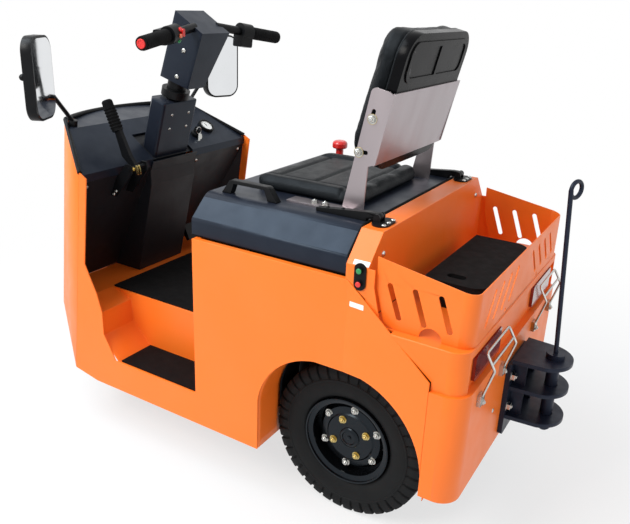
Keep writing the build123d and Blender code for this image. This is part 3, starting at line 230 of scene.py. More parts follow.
def finish(name, colour, rough, metal=0.0, blotch=(5.0, 0.06), smear=(30.0, 0.05), grain=(900.0, 0.00002),
           stretch=(1, 1, 1), dust=None, coat=0.0, coat_rough=0.1, specular=0.5, cells=None,
           sheen=(1, 1, 1)):
    """A surface on Object coordinates: colour = base darkened and lightened by slow noise, roughness = value moved
    by a second noise, bump = fine noise or cell grain, and dust = a paler colour where noise and an upward slope
    meet. blotch, smear and grain are (noise scale, how much); dust is (how much, colour, noise scale)."""
    skin = bpy.data.materials.new(name)
    skin.use_nodes = True
    nodes, links = skin.node_tree.nodes, skin.node_tree.links
    shader = nodes["Principled BSDF"]
    shader.inputs["Metallic"].default_value = metal
    shader.inputs["Coat Weight"].default_value = coat
    shader.inputs["Coat Roughness"].default_value = coat_rough
    shader.inputs["Specular IOR Level"].default_value = specular
    shader.inputs["Specular Tint"].default_value = (*sheen, 1)
    place = nodes.new("ShaderNodeTexCoord")
    turn = nodes.new("ShaderNodeMapping")
    turn.inputs["Scale"].default_value = stretch
    links.new(place.outputs["Object"], turn.inputs["Vector"])

    def noise(scale, detail=4.0):
        tex = nodes.new("ShaderNodeTexNoise")
        tex.inputs["Scale"].default_value = scale
        tex.inputs["Detail"].default_value = detail
        links.new(turn.outputs["Vector"], tex.inputs["Vector"])
        return tex.outputs["Fac"]

    def spread(value, low, high, from_low=0.3, from_high=0.7):
        area = nodes.new("ShaderNodeMapRange")
        limits = {"From Min": from_low, "From Max": from_high, "To Min": low, "To Max": high}
        for key, number in limits.items():
            area.inputs[key].default_value = number
        links.new(value, area.inputs["Value"])
        return area.outputs["Result"]

    def blend(share, first, second):
        mix = nodes.new("ShaderNodeMix")
        mix.data_type = "RGBA"
        links.new(share, mix.inputs["Factor"])
        for socket, value in (("A", first), ("B", second)):
            target = [s for s in mix.inputs if s.name == socket and s.type == "RGBA"][0]
            if isinstance(value, tuple):
                target.default_value = value
            else:
                links.new(value, target)
        return [s for s in mix.outputs if s.type == "RGBA"][0]

    low = (*(c * (1 - blotch[1]) for c in colour[:3]), 1.0)
    high = (*(min(1.0, c * (1 + blotch[1])) for c in colour[:3]), 1.0)
    tint = blend(spread(noise(blotch[0]), 0.0, 1.0), low, high)
    if dust:
        amount, shade, scale = dust
        slope = nodes.new("ShaderNodeSeparateXYZ")
        facing = nodes.new("ShaderNodeNewGeometry")
        links.new(facing.outputs["Normal"], slope.inputs["Vector"])
        both = nodes.new("ShaderNodeMath")
        both.operation = "MULTIPLY"
        # The upward part of the normal: little dust below -0.2, all of it above 0.9
        links.new(spread(slope.outputs["Z"], 0.25, 1.0, -0.2, 0.9), both.inputs[0])
        links.new(spread(noise(scale, 6.0), 0.0, amount, 0.42, 0.72), both.inputs[1])
        tint = blend(both.outputs[0], tint, shade)
    links.new(tint, shader.inputs["Base Color"])
    links.new(spread(noise(smear[0]), rough - smear[1], rough + smear[1]), shader.inputs["Roughness"])
    bump = nodes.new("ShaderNodeBump")
    bump.inputs["Strength"].default_value = 1.0
    bump.inputs["Distance"].default_value = grain[1]
    if cells:
        crack = nodes.new("ShaderNodeTexVoronoi")
        crack.feature = "DISTANCE_TO_EDGE"
        crack.inputs["Scale"].default_value = cells
        links.new(turn.outputs["Vector"], crack.inputs["Vector"])
        links.new(spread(crack.outputs["Distance"], 0.0, 1.0, 0.0, 0.18), bump.inputs["Height"])
    else:
        links.new(noise(grain[0], 2.0), bump.inputs["Height"])
    links.new(bump.outputs["Normal"], shader.inputs["Normal"])
    return skin


ORANGE = finish("orange_powder_coat", srgb(250, 120, 34), 0.40, blotch=(3.0, 0.03), smear=(18.0, 0.05),
                grain=(700.0, 0.00003), dust=(0.06, srgb(225, 170, 130), 9.0), specular=0.35)
DARK = finish("satin_dark_coat", srgb(26, 30, 40), 0.34, blotch=(6.0, 0.10), smear=(22.0, 0.06),
              grain=(800.0, 0.00004), dust=(0.04, srgb(110, 116, 128), 30.0), specular=0.24,
              sheen=(0.62, 0.80, 1.0))
LOWER = finish("matt_dark_coat", srgb(23, 24, 28), 0.50, blotch=(5.0, 0.12), smear=(22.0, 0.07),
               grain=(700.0, 0.00004), dust=(0.03, srgb(90, 90, 92), 30.0), specular=0.25)
HITCH = finish("hitch_paint", srgb(21, 25, 39), 0.40, blotch=(12.0, 0.14), smear=(35.0, 0.08),
               grain=(260.0, 0.00010), dust=(0.06, srgb(100, 104, 116), 60.0), specular=0.3,
               sheen=(0.7, 0.8, 1.0))
PLASTIC = finish("black_moulding", srgb(14, 15, 17), 0.38, blotch=(9.0, 0.10), smear=(45.0, 0.06),
                 grain=(1400.0, 0.00003), specular=0.15)
SHELL = finish("glossy_back_shell", srgb(8, 8, 10), 0.24, blotch=(7.0, 0.10), smear=(20.0, 0.05),
               grain=(1100.0, 0.00004), specular=0.07)
RUBBER = finish("ribbed_mat_rubber", srgb(12, 12, 13), 0.80, blotch=(8.0, 0.14), smear=(40.0, 0.06),
                grain=(1100.0, 0.00012), dust=(0.03, srgb(75, 73, 70), 26.0), specular=0.12)
TYRE = finish("tyre_rubber", srgb(21, 22, 23), 0.62, blotch=(14.0, 0.16), smear=(40.0, 0.08),
              grain=(600.0, 0.00010), dust=(0.06, srgb(90, 86, 80), 40.0), specular=0.13)
RIM = finish("glossy_rim_paint", srgb(9, 10, 12), 0.24, blotch=(12.0, 0.12), smear=(26.0, 0.06),
             grain=(500.0, 0.00003), specular=0.3, sheen=(0.7, 0.85, 1.0))
VINYL = finish("seat_vinyl", srgb(16, 18, 20), 0.42, blotch=(9.0, 0.10), smear=(30.0, 0.06),
               grain=(900.0, 0.00016), cells=420.0, specular=0.14, sheen=(0.8, 0.9, 1.0))
STEEL = finish("brushed_plate_steel", srgb(165, 156, 159), 0.34, metal=0.9, blotch=(4.0, 0.08),
               smear=(16.0, 0.08), grain=(900.0, 0.00004), stretch=(1, 1, 0.06))
ZINC = finish("bright_zinc", srgb(190, 190, 186), 0.24, metal=1.0, blotch=(40.0, 0.08), smear=(90.0, 0.08),
              grain=(800.0, 0.00003))
GOLD = finish("yellow_zinc", srgb(196, 176, 116), 0.30, metal=1.0, blotch=(60.0, 0.12), smear=(90.0, 0.08),
              grain=(900.0, 0.00003))
RED = finish("red_moulding", srgb(214, 36, 32), 0.30, blotch=(30.0, 0.06), smear=(60.0, 0.05),
             grain=(1200.0, 0.00002), coat=0.3)
LENS = finish("red_lamp_lens", srgb(128, 30, 26), 0.16, blotch=(30.0, 0.20), smear=(60.0, 0.04),
              grain=(170.0, 0.00025), coat=0.6, coat_rough=0.08)
MIRROR = finish("mirror_glass", srgb(226, 228, 230), 0.045, metal=1.0, blotch=(9.0, 0.02), smear=(9.0, 0.02),
                grain=(6.0, 0.00002))
CASE = finish("battery_case", srgb(42, 42, 48), 0.55, blotch=(12.0, 0.10), smear=(40.0, 0.06),
              grain=(900.0, 0.00005))
WHITE = finish("blank_label", srgb(236, 234, 230), 0.45, blotch=(50.0, 0.04), smear=(60.0, 0.05),
               grain=(900.0, 0.00001))
GREEN = finish("green_button", srgb(30, 140, 76), 0.30, blotch=(60.0, 0.06), smear=(60.0, 0.05),
               grain=(900.0, 0.00002), coat=0.4)
AMBER = finish("orange_button", srgb(232, 110, 70), 0.34, blotch=(60.0, 0.06), smear=(60.0, 0.05),
               grain=(900.0, 0.00002), coat=0.3)

SKINS = {
    "tyre": TYRE, "rim": RIM, "orange": ORANGE, "dark": DARK, "hitch": HITCH, "black": PLASTIC,
    "rubber": RUBBER, "vinyl": VINYL, "steel": STEEL, "zinc": ZINC, "red": RED, "lens": LENS,
    "mirror": MIRROR, "battery": CASE,
}
EXCEPTIONS = {
    "lower_panel": LOWER, "tray_platform": RUBBER, "backrest_shell": SHELL, "lid_hinge_arms": PLASTIC,
    "lid_hinge_bases": PLASTIC,
}
# Softened folds and edges: width in mm of the rounding on each sheet-metal node
ROUNDED = {
    "front_cowl": 1.6, "side_panel_left": 1.6, "side_panel_right": 1.6, "floor_pan": 1.4,
    "seat_box_front": 1.6, "bulkhead_beam": 2.4, "rear_body": 2.0, "basket": 0.8, "tray_platform": 1.2,
    "console_panel": 1.2, "lower_panel": 1.2, "floor_mats": 1.0, "lid": 1.4, "lid_handle": 1.6, "hitch": 1.4,
    "column_shroud": 4.0, "steering_head": 3.0, "seat_bracket": 1.2, "lid_hinge_arms": 1.6, "chassis": 2.0,
    "battery": 4.0, "mirror_housings": 4.0, "handbrake": 1.0, "brake_pedal": 1.2, "backrest_shell": 5.0,
    "side_buttons": 0.8,
}
DOUBLED = 1e-5           # points of a node nearer than this, in metres, are one
FOLD = math.radians(30)  # the least angle that is rounded
for part in frame["record"]["subparts"]:
    name = part["node"]
    piece = node[name]
    piece.data.materials.clear()
    piece.data.materials.append(EXCEPTIONS.get(name, SKINS[part["material_slot"]]))
    if name in ROUNDED:
        piece.modifiers.new("weld", "WELD").merge_threshold = DOUBLED
        bevel = piece.modifiers.new("bevel", "BEVEL")
        bevel.width = ROUNDED[name] / 1000
        bevel.segments = 2
        bevel.limit_method = "ANGLE"
        bevel.angle_limit = FOLD


# Tyres

TREAD = 7.0  # depth of the grooves
# Grooves between the rows of blocks, as shares of half the width
ROW_EDGES = np.array([-0.56, -0.19, 0.19, 0.56])


def tyre(hub, outer, seat, width, lugs):
    """A tyre as radius and width over two angles: the section is a closed loop (bead, bulging sidewall, shoulder,
    crown), turned about the axle. Tread depth = soft step of the angle times the lug count, which leaves a groove
    between two blocks, moved by half a block from row to row, and a groove round the tyre between two rows. On the
    shoulders the grooves run on down the side and the blocks stand out over the sidewall."""
    half = width / 2
    around = lugs * 14
    deep = outer - seat
    bead = [(seat + 1, -0.70), (seat + 3, -0.80), (seat + 9, -0.88)]
    wall = [(seat + rise * deep, place) for rise, place in (
        (0.24, -0.95), (0.36, -0.985), (0.46, -0.99), (0.52, -0.98), (0.53, -0.997), (0.57, -0.997),
        (0.58, -0.97), (0.66, -0.955), (0.70, -0.975), (0.78, -0.965), (0.86, -0.935))]
    side = np.array([*bead, *wall, (outer - 6, -0.885), (outer - 3, -0.84)])
    across = np.linspace(-0.80, 0.80, 41)
    crown = np.stack([outer - 0.3 - 2.7 * np.abs(across / 0.80) ** 3, across], -1)
    loop = np.concatenate([side, crown, side[::-1] * (1, -1), [(seat + 0.6, 0.3), (seat + 0.6, -0.3)]])
    radius, place = loop[:, 0], loop[:, 1]
    angle = np.arange(around) * 2 * math.pi / around
    turns = angle[:, None] * lugs / (2 * math.pi)
    row = np.digitize(place, ROW_EDGES)
    beat = np.abs((turns + 0.5 * (row % 2)[None]) % 1 - 0.5) * 2
    between = smooth_step(beat, 0.70, 0.86)
    from_edge = np.min(np.abs(place[None] - ROW_EDGES[:, None]), 0)
    round_groove = 1 - smooth_step(from_edge, 0.022, 0.05)
    high = smooth_step(radius, seat + 0.62 * deep, seat + 0.68 * deep)
    shoulder = high * (np.abs(place) > 0.82)
    depth = TREAD * high[None] * np.maximum(between, round_groove[None] * (np.abs(place) < 0.7))
    inward = 0.075 * shoulder[None] * between
    out = (radius[None] - depth * (1 - 0.5 * shoulder[None])) / 1000
    wide = np.sign(place) * (np.abs(place) - inward) * half / 1000
    turned_out = [hub[0] + out * np.cos(angle)[:, None], hub[1] + wide, hub[2] + out * np.sin(angle)[:, None]]
    return np.stack(turned_out, -1), quads(around, len(loop), wrap_rows=True, wrap_cols=True)


for side, sign in SIDES:
    middle = at(0, sign * REAR_WHEEL_LEFT, REAR_RADIUS)
    rubber = put(f"tyre_{side}", tyre(middle, REAR_RADIUS, seat=116.5, width=111, lugs=40),
                 f"rear_wheel_{side}_body", TYRE, sharp=40)
    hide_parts(f"rear_tyre_{side}")
middle = at(WHEELBASE, 0, FRONT_RADIUS)
front = put("tyre_front", tyre(middle, FRONT_RADIUS, seat=75, width=94, lugs=30), "front_wheel_body",
            TYRE, sharp=40)
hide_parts("front_tyre")


# Seat

STIFF = 60  # the cloth's stiffness, pulled or pushed


def swell(piece, cap, pressure=4.0, voxel=0.005, frames=20):
    """Blow a closed form up as stuffed cloth, no point moving further than the cap in mm."""
    mesh = piece.data
    scene = bpy.context.scene
    layer = bpy.context.view_layer
    for o in scene.objects:
        o.select_set(False)
    layer.objects.active = piece
    piece.select_set(True)
    remesh = piece.modifiers.new("remesh", "REMESH")
    remesh.mode = "VOXEL"
    remesh.voxel_size = voxel
    bpy.ops.object.modifier_apply(modifier="remesh")
    count = len(mesh.vertices)
    rest = np.zeros(count * 3)
    mesh.vertices.foreach_get("co", rest)
    cloth = piece.modifiers.new("cloth", "CLOTH")
    cloth.settings.use_pressure = True
    cloth.settings.uniform_pressure_force = pressure
    cloth.settings.tension_stiffness = STIFF
    cloth.settings.compression_stiffness = STIFF
    cloth.settings.effector_weights.gravity = 0
    cloth.collision_settings.use_collision = False
    for moment in range(1, frames + 1):
        scene.frame_set(moment)
    bpy.ops.object.modifier_apply(modifier="cloth")
    scene.frame_set(1)
    moved = np.zeros(count * 3)
    mesh.vertices.foreach_get("co", moved)
    step = (moved - rest).reshape(-1, 3)
    size = np.linalg.norm(step, axis=1, keepdims=True)
    step *= np.minimum(1, cap / 1000 / np.maximum(size, 1e-9))
    mesh.vertices.foreach_set("co", (rest.reshape(-1, 3) + step).ravel())
    mesh.update()
    return mesh


def points_of(mesh):
    """A mesh's points as rows of three."""
    co = np.zeros(len(mesh.vertices) * 3)
    mesh.vertices.foreach_get("co", co)
    return co.reshape(-1, 3)


def pillow(long, wide, thick, corner):
    """A rounded slab with two softened edges: rings of a rounded outline shrink along an ellipse's quarter as they
    near the lower face, and along another as they near the upper one."""
    outline = rounded(long, wide, corner, 10)
    turn = np.linspace(0, math.pi / 2, 6)
    low_in, low_up, high_in, high_up = 12, 10, 16, 14
    low = [(1 - (1 - math.sin(t)) * low_in / (long / 2), low_up * (1 - math.cos(t))) for t in turn]
    high = [(1 - (1 - math.cos(t)) * high_in / (long / 2), thick - high_up + high_up * math.sin(t))
            for t in turn]
    return outline, low + high


def hump(value, middle, width, power=2):
    """1 in the middle and falling to 0 at about a width to each side; a higher power has a flatter top."""
    return np.exp(-((value - middle) / width) ** power)


def cushion():
    """The seat cushion: a swollen slab with raised side bolsters, crosswise channels between them and three lobes
    along its rear edge. Height = slab + bolster(|left|) - channels(ahead) + lobes, all smooth functions of the
    plan."""
    deepest, highest, settle = 7.0, 0.8155, 1
    lobe_pitch, lobe_ahead = 126, 82
    outline, rows = pillow(318, 376, 27, 48)
    piece = put("seat_cushion_pad", plate(outline, at(213, 0, LID_TOP), AHEAD, LEFT, rows), LID, VINYL)
    mesh = swell(piece, 5)
    p = points_of(mesh)
    ahead, left, up = p[:, 0] * 1000 - REAR_AXLE, p[:, 1] * 1000, p[:, 2] * 1000
    top = smooth_step(up, 787, 799)
    inner = 1 - smooth_step(np.abs(left), 128, 150)
    bolster = 7 * hump(np.abs(left), 164, 20) - deepest * dent(np.abs(left), [138], 4.5) * (ahead > 100)
    channel = -deepest * dent(ahead, [315, 208, 108], 5.5) * np.where(ahead > 130, inner, 1)
    from_lobe = ((left + 1.5 * lobe_pitch) % lobe_pitch) - lobe_pitch / 2
    lobes = 6 * hump(ahead, lobe_ahead, 20, 4) * hump(from_lobe, 0, 48, 4)
    p[:, 2] = np.minimum((up + top * (bolster + channel + lobes - settle)) / 1000, highest)
    mesh.vertices.foreach_set("co", p.ravel())
    mesh.update()
    soften(piece)
    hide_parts("seat_cushion")


def soften(piece):
    """One level of subdivision, the same in every render, and smooth shading."""
    piece.data.polygons.foreach_set("use_smooth", np.ones(len(piece.data.polygons), bool))
    sub = piece.modifiers.new("smooth", "SUBSURF")
    sub.levels = sub.render_levels = 1


BACK_LEAN = math.radians(13.5)
BACK_FOOT = at(21, 0, 868)
BACK_OUT = np.array((math.cos(BACK_LEAN), 0, math.sin(BACK_LEAN)))
BACK_UP = np.array((-math.sin(BACK_LEAN), 0, math.cos(BACK_LEAN)))


def on_back(left, rise, out):
    """Points in metres from mm to the left, up along the leaning back and out of it."""
    left, rise, out = np.broadcast_arrays(left, rise, out)
    return BACK_FOOT + (left[..., None] * np.array(LEFT) + rise[..., None] * BACK_UP
                        + out[..., None] * BACK_OUT) / 1000


def back_pad():
    """The back pad: a swollen slab with a raised border and crosswise channels, bulged towards the driver, and the
    piping round its rear edge. The pad's points stay between two distances out of the back's foot."""
    nearest, furthest = 28.4, 83.5
    outline, rows = pillow(362, 312, 46, 58)
    place = plate(outline, on_back(0, 163, 31), LEFT, BACK_UP, rows)
    piece = put("back_pad", place, LID, VINYL)
    mesh = swell(piece, 7)
    p = points_of(mesh)
    rel = (p - BACK_FOOT) * 1000
    left, rise, out = rel[:, 1], rel @ BACK_UP, rel @ BACK_OUT
    front = smooth_step(out, 44, 66)
    inner = 1 - smooth_step(np.abs(left), 110, 132)
    border = 5 * hump(np.abs(left), 142, 22) - 6 * dent(np.abs(left), [122], 4)
    shape = border - 5.5 * dent(rise, [78, 132, 186, 240], 5) * inner
    lumbar = 8 * hump(rise, 100, 80) - 2
    out = np.clip(out + front * (shape + lumbar), nearest, furthest)
    p = on_back(left, rise, out)
    mesh.vertices.foreach_set("co", p.ravel())
    mesh.update()
    soften(piece)
    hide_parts("backrest_pad")
    edge = rounded(360, 308, 56, 14)
    piping = tube(on_back(edge[:, 0], 161 + edge[:, 1], 30.5), 3.4, 10, closed=True, ref=BACK_OUT)
    put("back_piping", piping, LID, VINYL)


cushion()
back_pad()


# Fasteners

SURFACES = {}


def landing(name, start, way):
    """Where a straight line first meets a node's surface, and the normal there, against the line."""
    if name not in SURFACES:
        mesh = node[name].data
        SURFACES[name] = BVHTree.FromPolygons([v.co for v in mesh.vertices], [p.vertices for p in mesh.polygons])
    place, normal, _, _ = SURFACES[name].ray_cast(Vector(start), Vector(unit(way)))
    if place is None:
        raise ValueError(f"the line from {start} along {way} doesn't meet {name}")
    normal = unit(np.array(normal))
    return np.array(place), -normal * np.sign(normal @ unit(way))


def hexagon(place, way, size, height=7.0, turn=0.3, tail=3.0):
    """A nut of a size across its flats on a washer, with the bolt's end standing out of it."""
    across = size / 2 / math.cos(math.pi / 6)
    wide, thick = size * 0.74, 1.3
    washer = turned([(0, -0.5), (wide, -0.5), (wide, thick), (0, thick)], place, way, 24)
    body = turned([(0, thick), (across, thick), (across, height - 0.9), (across - 1.3, height), (0, height)],
                  place, way, 6, turn)
    end = height + tail
    bolt = turned([(0, height - 1), (size * 0.26, height - 1), (size * 0.26, end - 1), (size * 0.20, end),
                   (0, end)], place, way, 14)
    return [washer, body, bolt]


def dome(place, way, radius, height=4.0):
    """A round-headed screw with a hexagon socket: the head's profile is a quarter ellipse."""
    t = np.linspace(0, 1.15, 6)
    profile = [(0, -0.6), (radius, -0.6), *zip(radius * np.cos(t), height * np.sin(t)),
               (radius * 0.38, height * 0.5), (0, height * 0.45)]
    return [turned(profile, place, way, 24)]


def round_hub(sign, radius, turn, out):
    """A point at a radius and an angle about a rear axle, and mm out from its wheel's middle."""
    return at(-radius * math.sin(turn), sign * (REAR_WHEEL_LEFT + out), REAR_RADIUS + radius * math.cos(turn))


NUT, NUT_HIGH = 14, 8
WHEEL_NUTS = (
    # name, count, radius of their circle, angle of the first, mm out from the wheel's middle, finish
    ("hub_nuts", 4, 50, -0.45, 30, GOLD),
    ("rim_nuts", 6, 79, 0.10, 24.6, ZINC),
)
HUB_CAP = [(0, -1), (27, -1), (27, 2), (24, 5), (19, 6), (17, 3), (0, 3)]
CAP_KNOB = [(0, 1), (6, 1), (6, 5), (4.5, 6), (0, 6)]
VALVE = [(0, -4), (4, -4), (4, 8), (3, 10), (3, 17), (0, 17)]
for side, sign in SIDES:
    axle = np.array((0, sign, 0))
    body = f"rear_wheel_{side}_body"
    for name, count, circle, first, out, skin in WHEEL_NUTS:
        nuts = []
        for k in range(count):
            place = round_hub(sign, circle, first + k * 2 * math.pi / count, out)
            nuts += hexagon(place, axle, NUT, NUT_HIGH)
        put(f"{name}_{side}", nuts, body, skin, flat=True)
    centre = round_hub(sign, 0, 0, 30)
    put(f"hub_cap_{side}", [turned(HUB_CAP, centre, axle, 40), turned(CAP_KNOB, centre, axle, 20)], body,
        RIM)
    valve = at(-98, sign * (REAR_WHEEL_LEFT + 12), REAR_RADIUS)
    put(f"valve_{side}", turned(VALVE, valve, (0.25, sign, 0), 14), body, PLASTIC)

BEHIND = -420               # a line that starts here and runs ahead meets the tail first
BRACKET_LEFT = 199.6        # the outer face of the seat bracket's arms
BRACKET_HIGH = ((27, 994), (56, 916))
bolts = []
for left, up in ((64, 399), (-64, 399), (64, 316), (-64, 316)):
    bolts += hexagon(*landing("hitch", at(BEHIND, left, up), AHEAD), 20, 10)
for left in (138, 294, -138, -294):
    bolts += hexagon(*landing("lamp_guards", at(BEHIND, left, 447), AHEAD), 11, 5, tail=2)
put("hitch_bolts", bolts, CHASSIS, ZINC, flat=True)

bolts, washers = [], []
for ahead, up in BRACKET_HIGH:
    for sign in (1, -1):
        bolts += hexagon(at(ahead, sign * BRACKET_LEFT, up), (0, sign, 0), 15, 8, tail=4)
        washers.append(turned([(0, -1), (12, -1), (12, 0.8), (0, 0.8)], at(ahead, sign * 200.0, up),
                              (0, sign, 0), 28))
for ahead in (157, 128):
    for sign in (1, -1):
        bolts += hexagon(at(ahead, sign * 217, 782.2), UP, 13, 7, tail=2)
put("bracket_bolts", bolts, LID, ZINC, flat=True)
put("bracket_washers", washers, LID, GOLD)

panel, head, plates, arms = [], [], [], []
for left, up in ((123, 728.4), (-117, 729.2), (-338, 733.5), (338, 733.5)):
    panel += dome(*landing("lower_panel", at(816 - 120, left, up - 60), (2, 0, 1)), 6)
for left in (32, -42):
    for up in (876, 829):
        panel += dome(*landing("column_shroud", at(700, left, up), (1, 0, 0.29)), 4.6, 3)
for sign in (1, -1):
    panel += dome(*landing("bulkhead_beam", at(-160, sign * 300, 728), AHEAD), 7)
for sign in (1, -1):
    panel += dome(*landing("rear_body", at(-400, sign * 154, 346), AHEAD), 6, 2.0)
for ahead, up in ((706, 1088), (745, 1012)):
    for sign in (1, -1):
        head += dome(*landing("steering_head", at(ahead, sign * 150, up), (0, -sign, 0)), 7.5, 4.5)
HINGE_LEFT, ABOVE = 252, 830
for sign in (1, -1):
    for left in (-24, 0, 24):
        plates += dome(*landing("lid_hinge_bases", at(-55, sign * HINGE_LEFT + left, ABOVE), DOWN), 5.5, 3.2)
    for ahead in (60, 100):
        arms += dome(*landing("lid_hinge_arms", at(ahead, sign * HINGE_LEFT, ABOVE), DOWN), 5, 3)
put("panel_screws", panel, CHASSIS, ZINC)
put("head_screws", head, BARS, ZINC)
put("hinge_plate_screws", plates, CHASSIS, ZINC)
put("hinge_arm_screws", arms, LID, PLASTIC)


# Trim, seals, and painted shade along the console's sides

def bowed(first, middle, last, count):
    """Points in mm on the arc through three points: its centre is as far from the first point as from the other
    two, which gives two straight equations, and the arc runs the shorter way from the first point to the last."""
    (x1, y1), (x2, y2), (x3, y3) = first, middle, last
    system = np.array([[x1 - x2, y1 - y2], [x1 - x3, y1 - y3]]) * 2
    gaps = [x1 * x1 + y1 * y1 - x2 * x2 - y2 * y2, x1 * x1 + y1 * y1 - x3 * x3 - y3 * y3]
    cx, cy = np.linalg.solve(system, gaps)
    start, end = math.atan2(y1 - cy, x1 - cx), math.atan2(y3 - cy, x3 - cx)
    turn = start + np.linspace(0, 1, count) * ((end - start + math.pi) % (2 * math.pi) - math.pi)
    radius = math.hypot(x1 - cx, y1 - cy)
    return cx + radius * np.cos(turn), cy + radius * np.sin(turn)


ahead, left = bowed((981, -252), (1053.5, 0), (981, 252), 60)
put("cowl_edge_trim", tube(at(ahead, left, 887.5), 7, 14, squash=0.85), CHASSIS, PLASTIC, sharp=60)

# Black tubes along the console's sloping edges are painted shade: a dark strip where the gap between the console
# and the cowl's inner wall lies in shade
way = np.linspace(0, 1, 30)
for side, sign in SIDES:
    edge = at(983 - 178 * way, sign * (251 + 113 * way), 887 - 108 * way)
    put(f"console_side_trim_{side}", tube(edge, 6.2, 12), CHASSIS, PLASTIC)


def lining(name, points, skin):
    """A thin sheet through a grid of points, given its thickness by Solidify."""
    piece = put(name, (points, quads(*points.shape[:2])), CHASSIS, skin)
    thick = piece.modifiers.new("thickness", "SOLIDIFY")
    thick.thickness = 0.0012
    thick.offset = 0


# The cowl's flank beside the driver's feet: its left = 326.7 - 0.583 (ahead - 870) + 0.08 (740 - up)
FLANK_LEFT, FLANK_IN, FLANK_DOWN = 326.7, 0.583, 0.08
FLANK_AHEAD, FLANK_UP = 870, 740
SIDE_PANEL = 361.9          # how far left the side panel stands beside the feet
BEND_OUT = 35.3             # from the flank's line at its named place out to the bend beside the side panel
LINING_GAP = 1.6

# The wheel arch's line as (ahead, up), from the skirt in front of the wheel to the one behind it
FRONT_EDGE, REAR_EDGE, CROWN = 212.7, -245.6, 452.6
SKIRT_FRONT, SKIRT_REAR = 147, 212
arch = np.concatenate([np.stack(np.broadcast_arrays(*line), -1) for line in (
    (FRONT_EDGE, np.linspace(SKIRT_FRONT, 290, 8)),
    bowed((FRONT_EDGE, 292), (153.5, 404.4), (54.2, CROWN), 28),
    (np.linspace(50, -66, 8), CROWN),
    bowed((-70, CROWN), (-178.4, 398.5), (-236.5, 274), 28),
    (REAR_EDGE, np.linspace(274, SKIRT_REAR, 8)))])
flare = 361.4 + 0.1 * np.maximum(0, -arch[:, :1] - 20)   # the side panel widens towards the tail

for side, sign in SIDES:
    # From the opening's edge, or from the bend if that is nearer, ahead to just past the sloping lower panel
    up = np.linspace(412, 764, 30)[:, None]
    bend = FLANK_AHEAD - (BEND_OUT - FLANK_DOWN * (FLANK_UP - up)) / FLANK_IN
    near = np.minimum(829, bend)
    far = 836 + (700 - up) / 2
    ahead = near + np.linspace(0, 1, 20) * (far - near)
    flank = FLANK_LEFT - FLANK_IN * (ahead - FLANK_AHEAD) + FLANK_DOWN * (FLANK_UP - up)
    left = np.minimum(SIDE_PANEL, flank) - LINING_GAP
    lining(f"foot_lining_{side}", at(ahead, sign * left, up), LOWER)

    # The wheel house: the arch's line carried inwards, painted near the side panel and black further in, and
    # its inner wall
    for name, outer, inner, skin, slot in (("arch", flare, 264, ORANGE, "orange"),
                                           ("wheel_house", 263, 172.5, LOWER, "black")):
        left = outer + (inner - outer) * np.linspace(0, 1, 8)
        lining(f"{name}_{side}", at(arch[:, :1], sign * left, arch[:, 1:]), skin)
    share = np.linspace(0, 1, 12)[:, None]
    wall = arch[:, None] * share + np.array((-10, SKIRT_FRONT)) * (1 - share)
    lining(f"wheel_house_wall_{side}", at(wall[..., 0], sign * 171.5, wall[..., 1]), LOWER)


SEAL_UP, SEAL = 681.8, 2.8
half = np.array([(350, 686), (350, 716), (346, 726), (338, 734), (303, 766), (294, 774), (282, 778)], float)
profile = np.concatenate([half, half[::-1] * (-1, 1)])
# Known fault: this path starts and ends straight up, along tube's usual ref, so its two end rings have no first
# spoke and aren't numbers, and exports draw faces from them to the origin. ref=AHEAD would cure it.
put("lid_rear_seal", tube(at(-10.8, profile[:, 0], profile[:, 1]), 3.6, 10), LID, RUBBER, sharp=70)
for side, sign in SIDES:
    put(f"lid_foot_seal_{side}", tube(at(np.linspace(-8, 426, 24), sign * 347.0, SEAL_UP), SEAL, 10), LID,
        RUBBER)
put("lid_front_seal", tube(at(425.5, np.linspace(-344, 344, 24), SEAL_UP), SEAL, 10), LID, RUBBER)


# Console, handlebar and handbrake

CONSOLE_UP = unit((137, 0, 97))
CONSOLE_OUT = unit((-97, 0, 137))


def on_console(left, rise, out):
    """A point in metres at mm to the left, up the console's slope from its lower bend and out of it."""
    return at(803, 0, 771) + (left * np.array(LEFT) + rise * CONSOLE_UP + out * CONSOLE_OUT) / 1000


gauge = on_console(-229, 78, 7.3)
BEZEL = [(20.5, -2), (20.5, 1.5), (22, 3.8), (24.5, 4.4), (27, 3.2), (27.6, 0), (27.6, -5), (20.5, -5)]
DIAL = [(0, -2), (21, -2), (21, 0.8), (0, 0.8)]
put("gauge_bezel", turned(BEZEL, gauge, CONSOLE_OUT, 48), CHASSIS, PLASTIC)
put("gauge_face", turned(DIAL, gauge, CONSOLE_OUT, 40), CHASSIS, WHITE)
MARK_CIRCLE, MARK_SWEEP = 17, 1.9
marks = []
for a in np.linspace(-MARK_SWEEP, MARK_SWEEP, 9):
    # A mark stands on the dial at an angle from its top, square to the line from the dial's middle
    out_from_middle = math.sin(a) * np.array(RIGHT) + math.cos(a) * CONSOLE_UP
    beside = (0, -math.cos(a), 0) - math.sin(a) * CONSOLE_UP
    place = gauge + (MARK_CIRCLE * math.sin(a) * np.array(RIGHT) + MARK_CIRCLE * math.cos(a) * CONSOLE_UP) \
        / 1000 + CONSOLE_OUT * 0.0008
    marks.append(slab(rounded(1.2, 4.0, 0.4, 3), place, beside, out_from_middle, 0.4, 0.1))
marks.append(slab(rounded(1.4, 15, 0.5, 3), gauge + CONSOLE_UP * 0.004 + CONSOLE_OUT * 0.0009, RIGHT, CONSOLE_UP,
                  0.6, 0.2))
put("gauge_marks", marks, CHASSIS, PLASTIC)

# The dark well round the steering column, on the console and on the panel below it
for name, high, centre, way in (("console", 128, on_console(0, 66, -9), CONSOLE_UP),
                                ("panel", 96, at(815, 0, 722), (-1, 0, 2))):
    put(f"column_well_{name}", slab(rounded(196, high, 3, 4), centre, RIGHT, way, 2.0, 0.3), CHASSIS,
        LOWER)

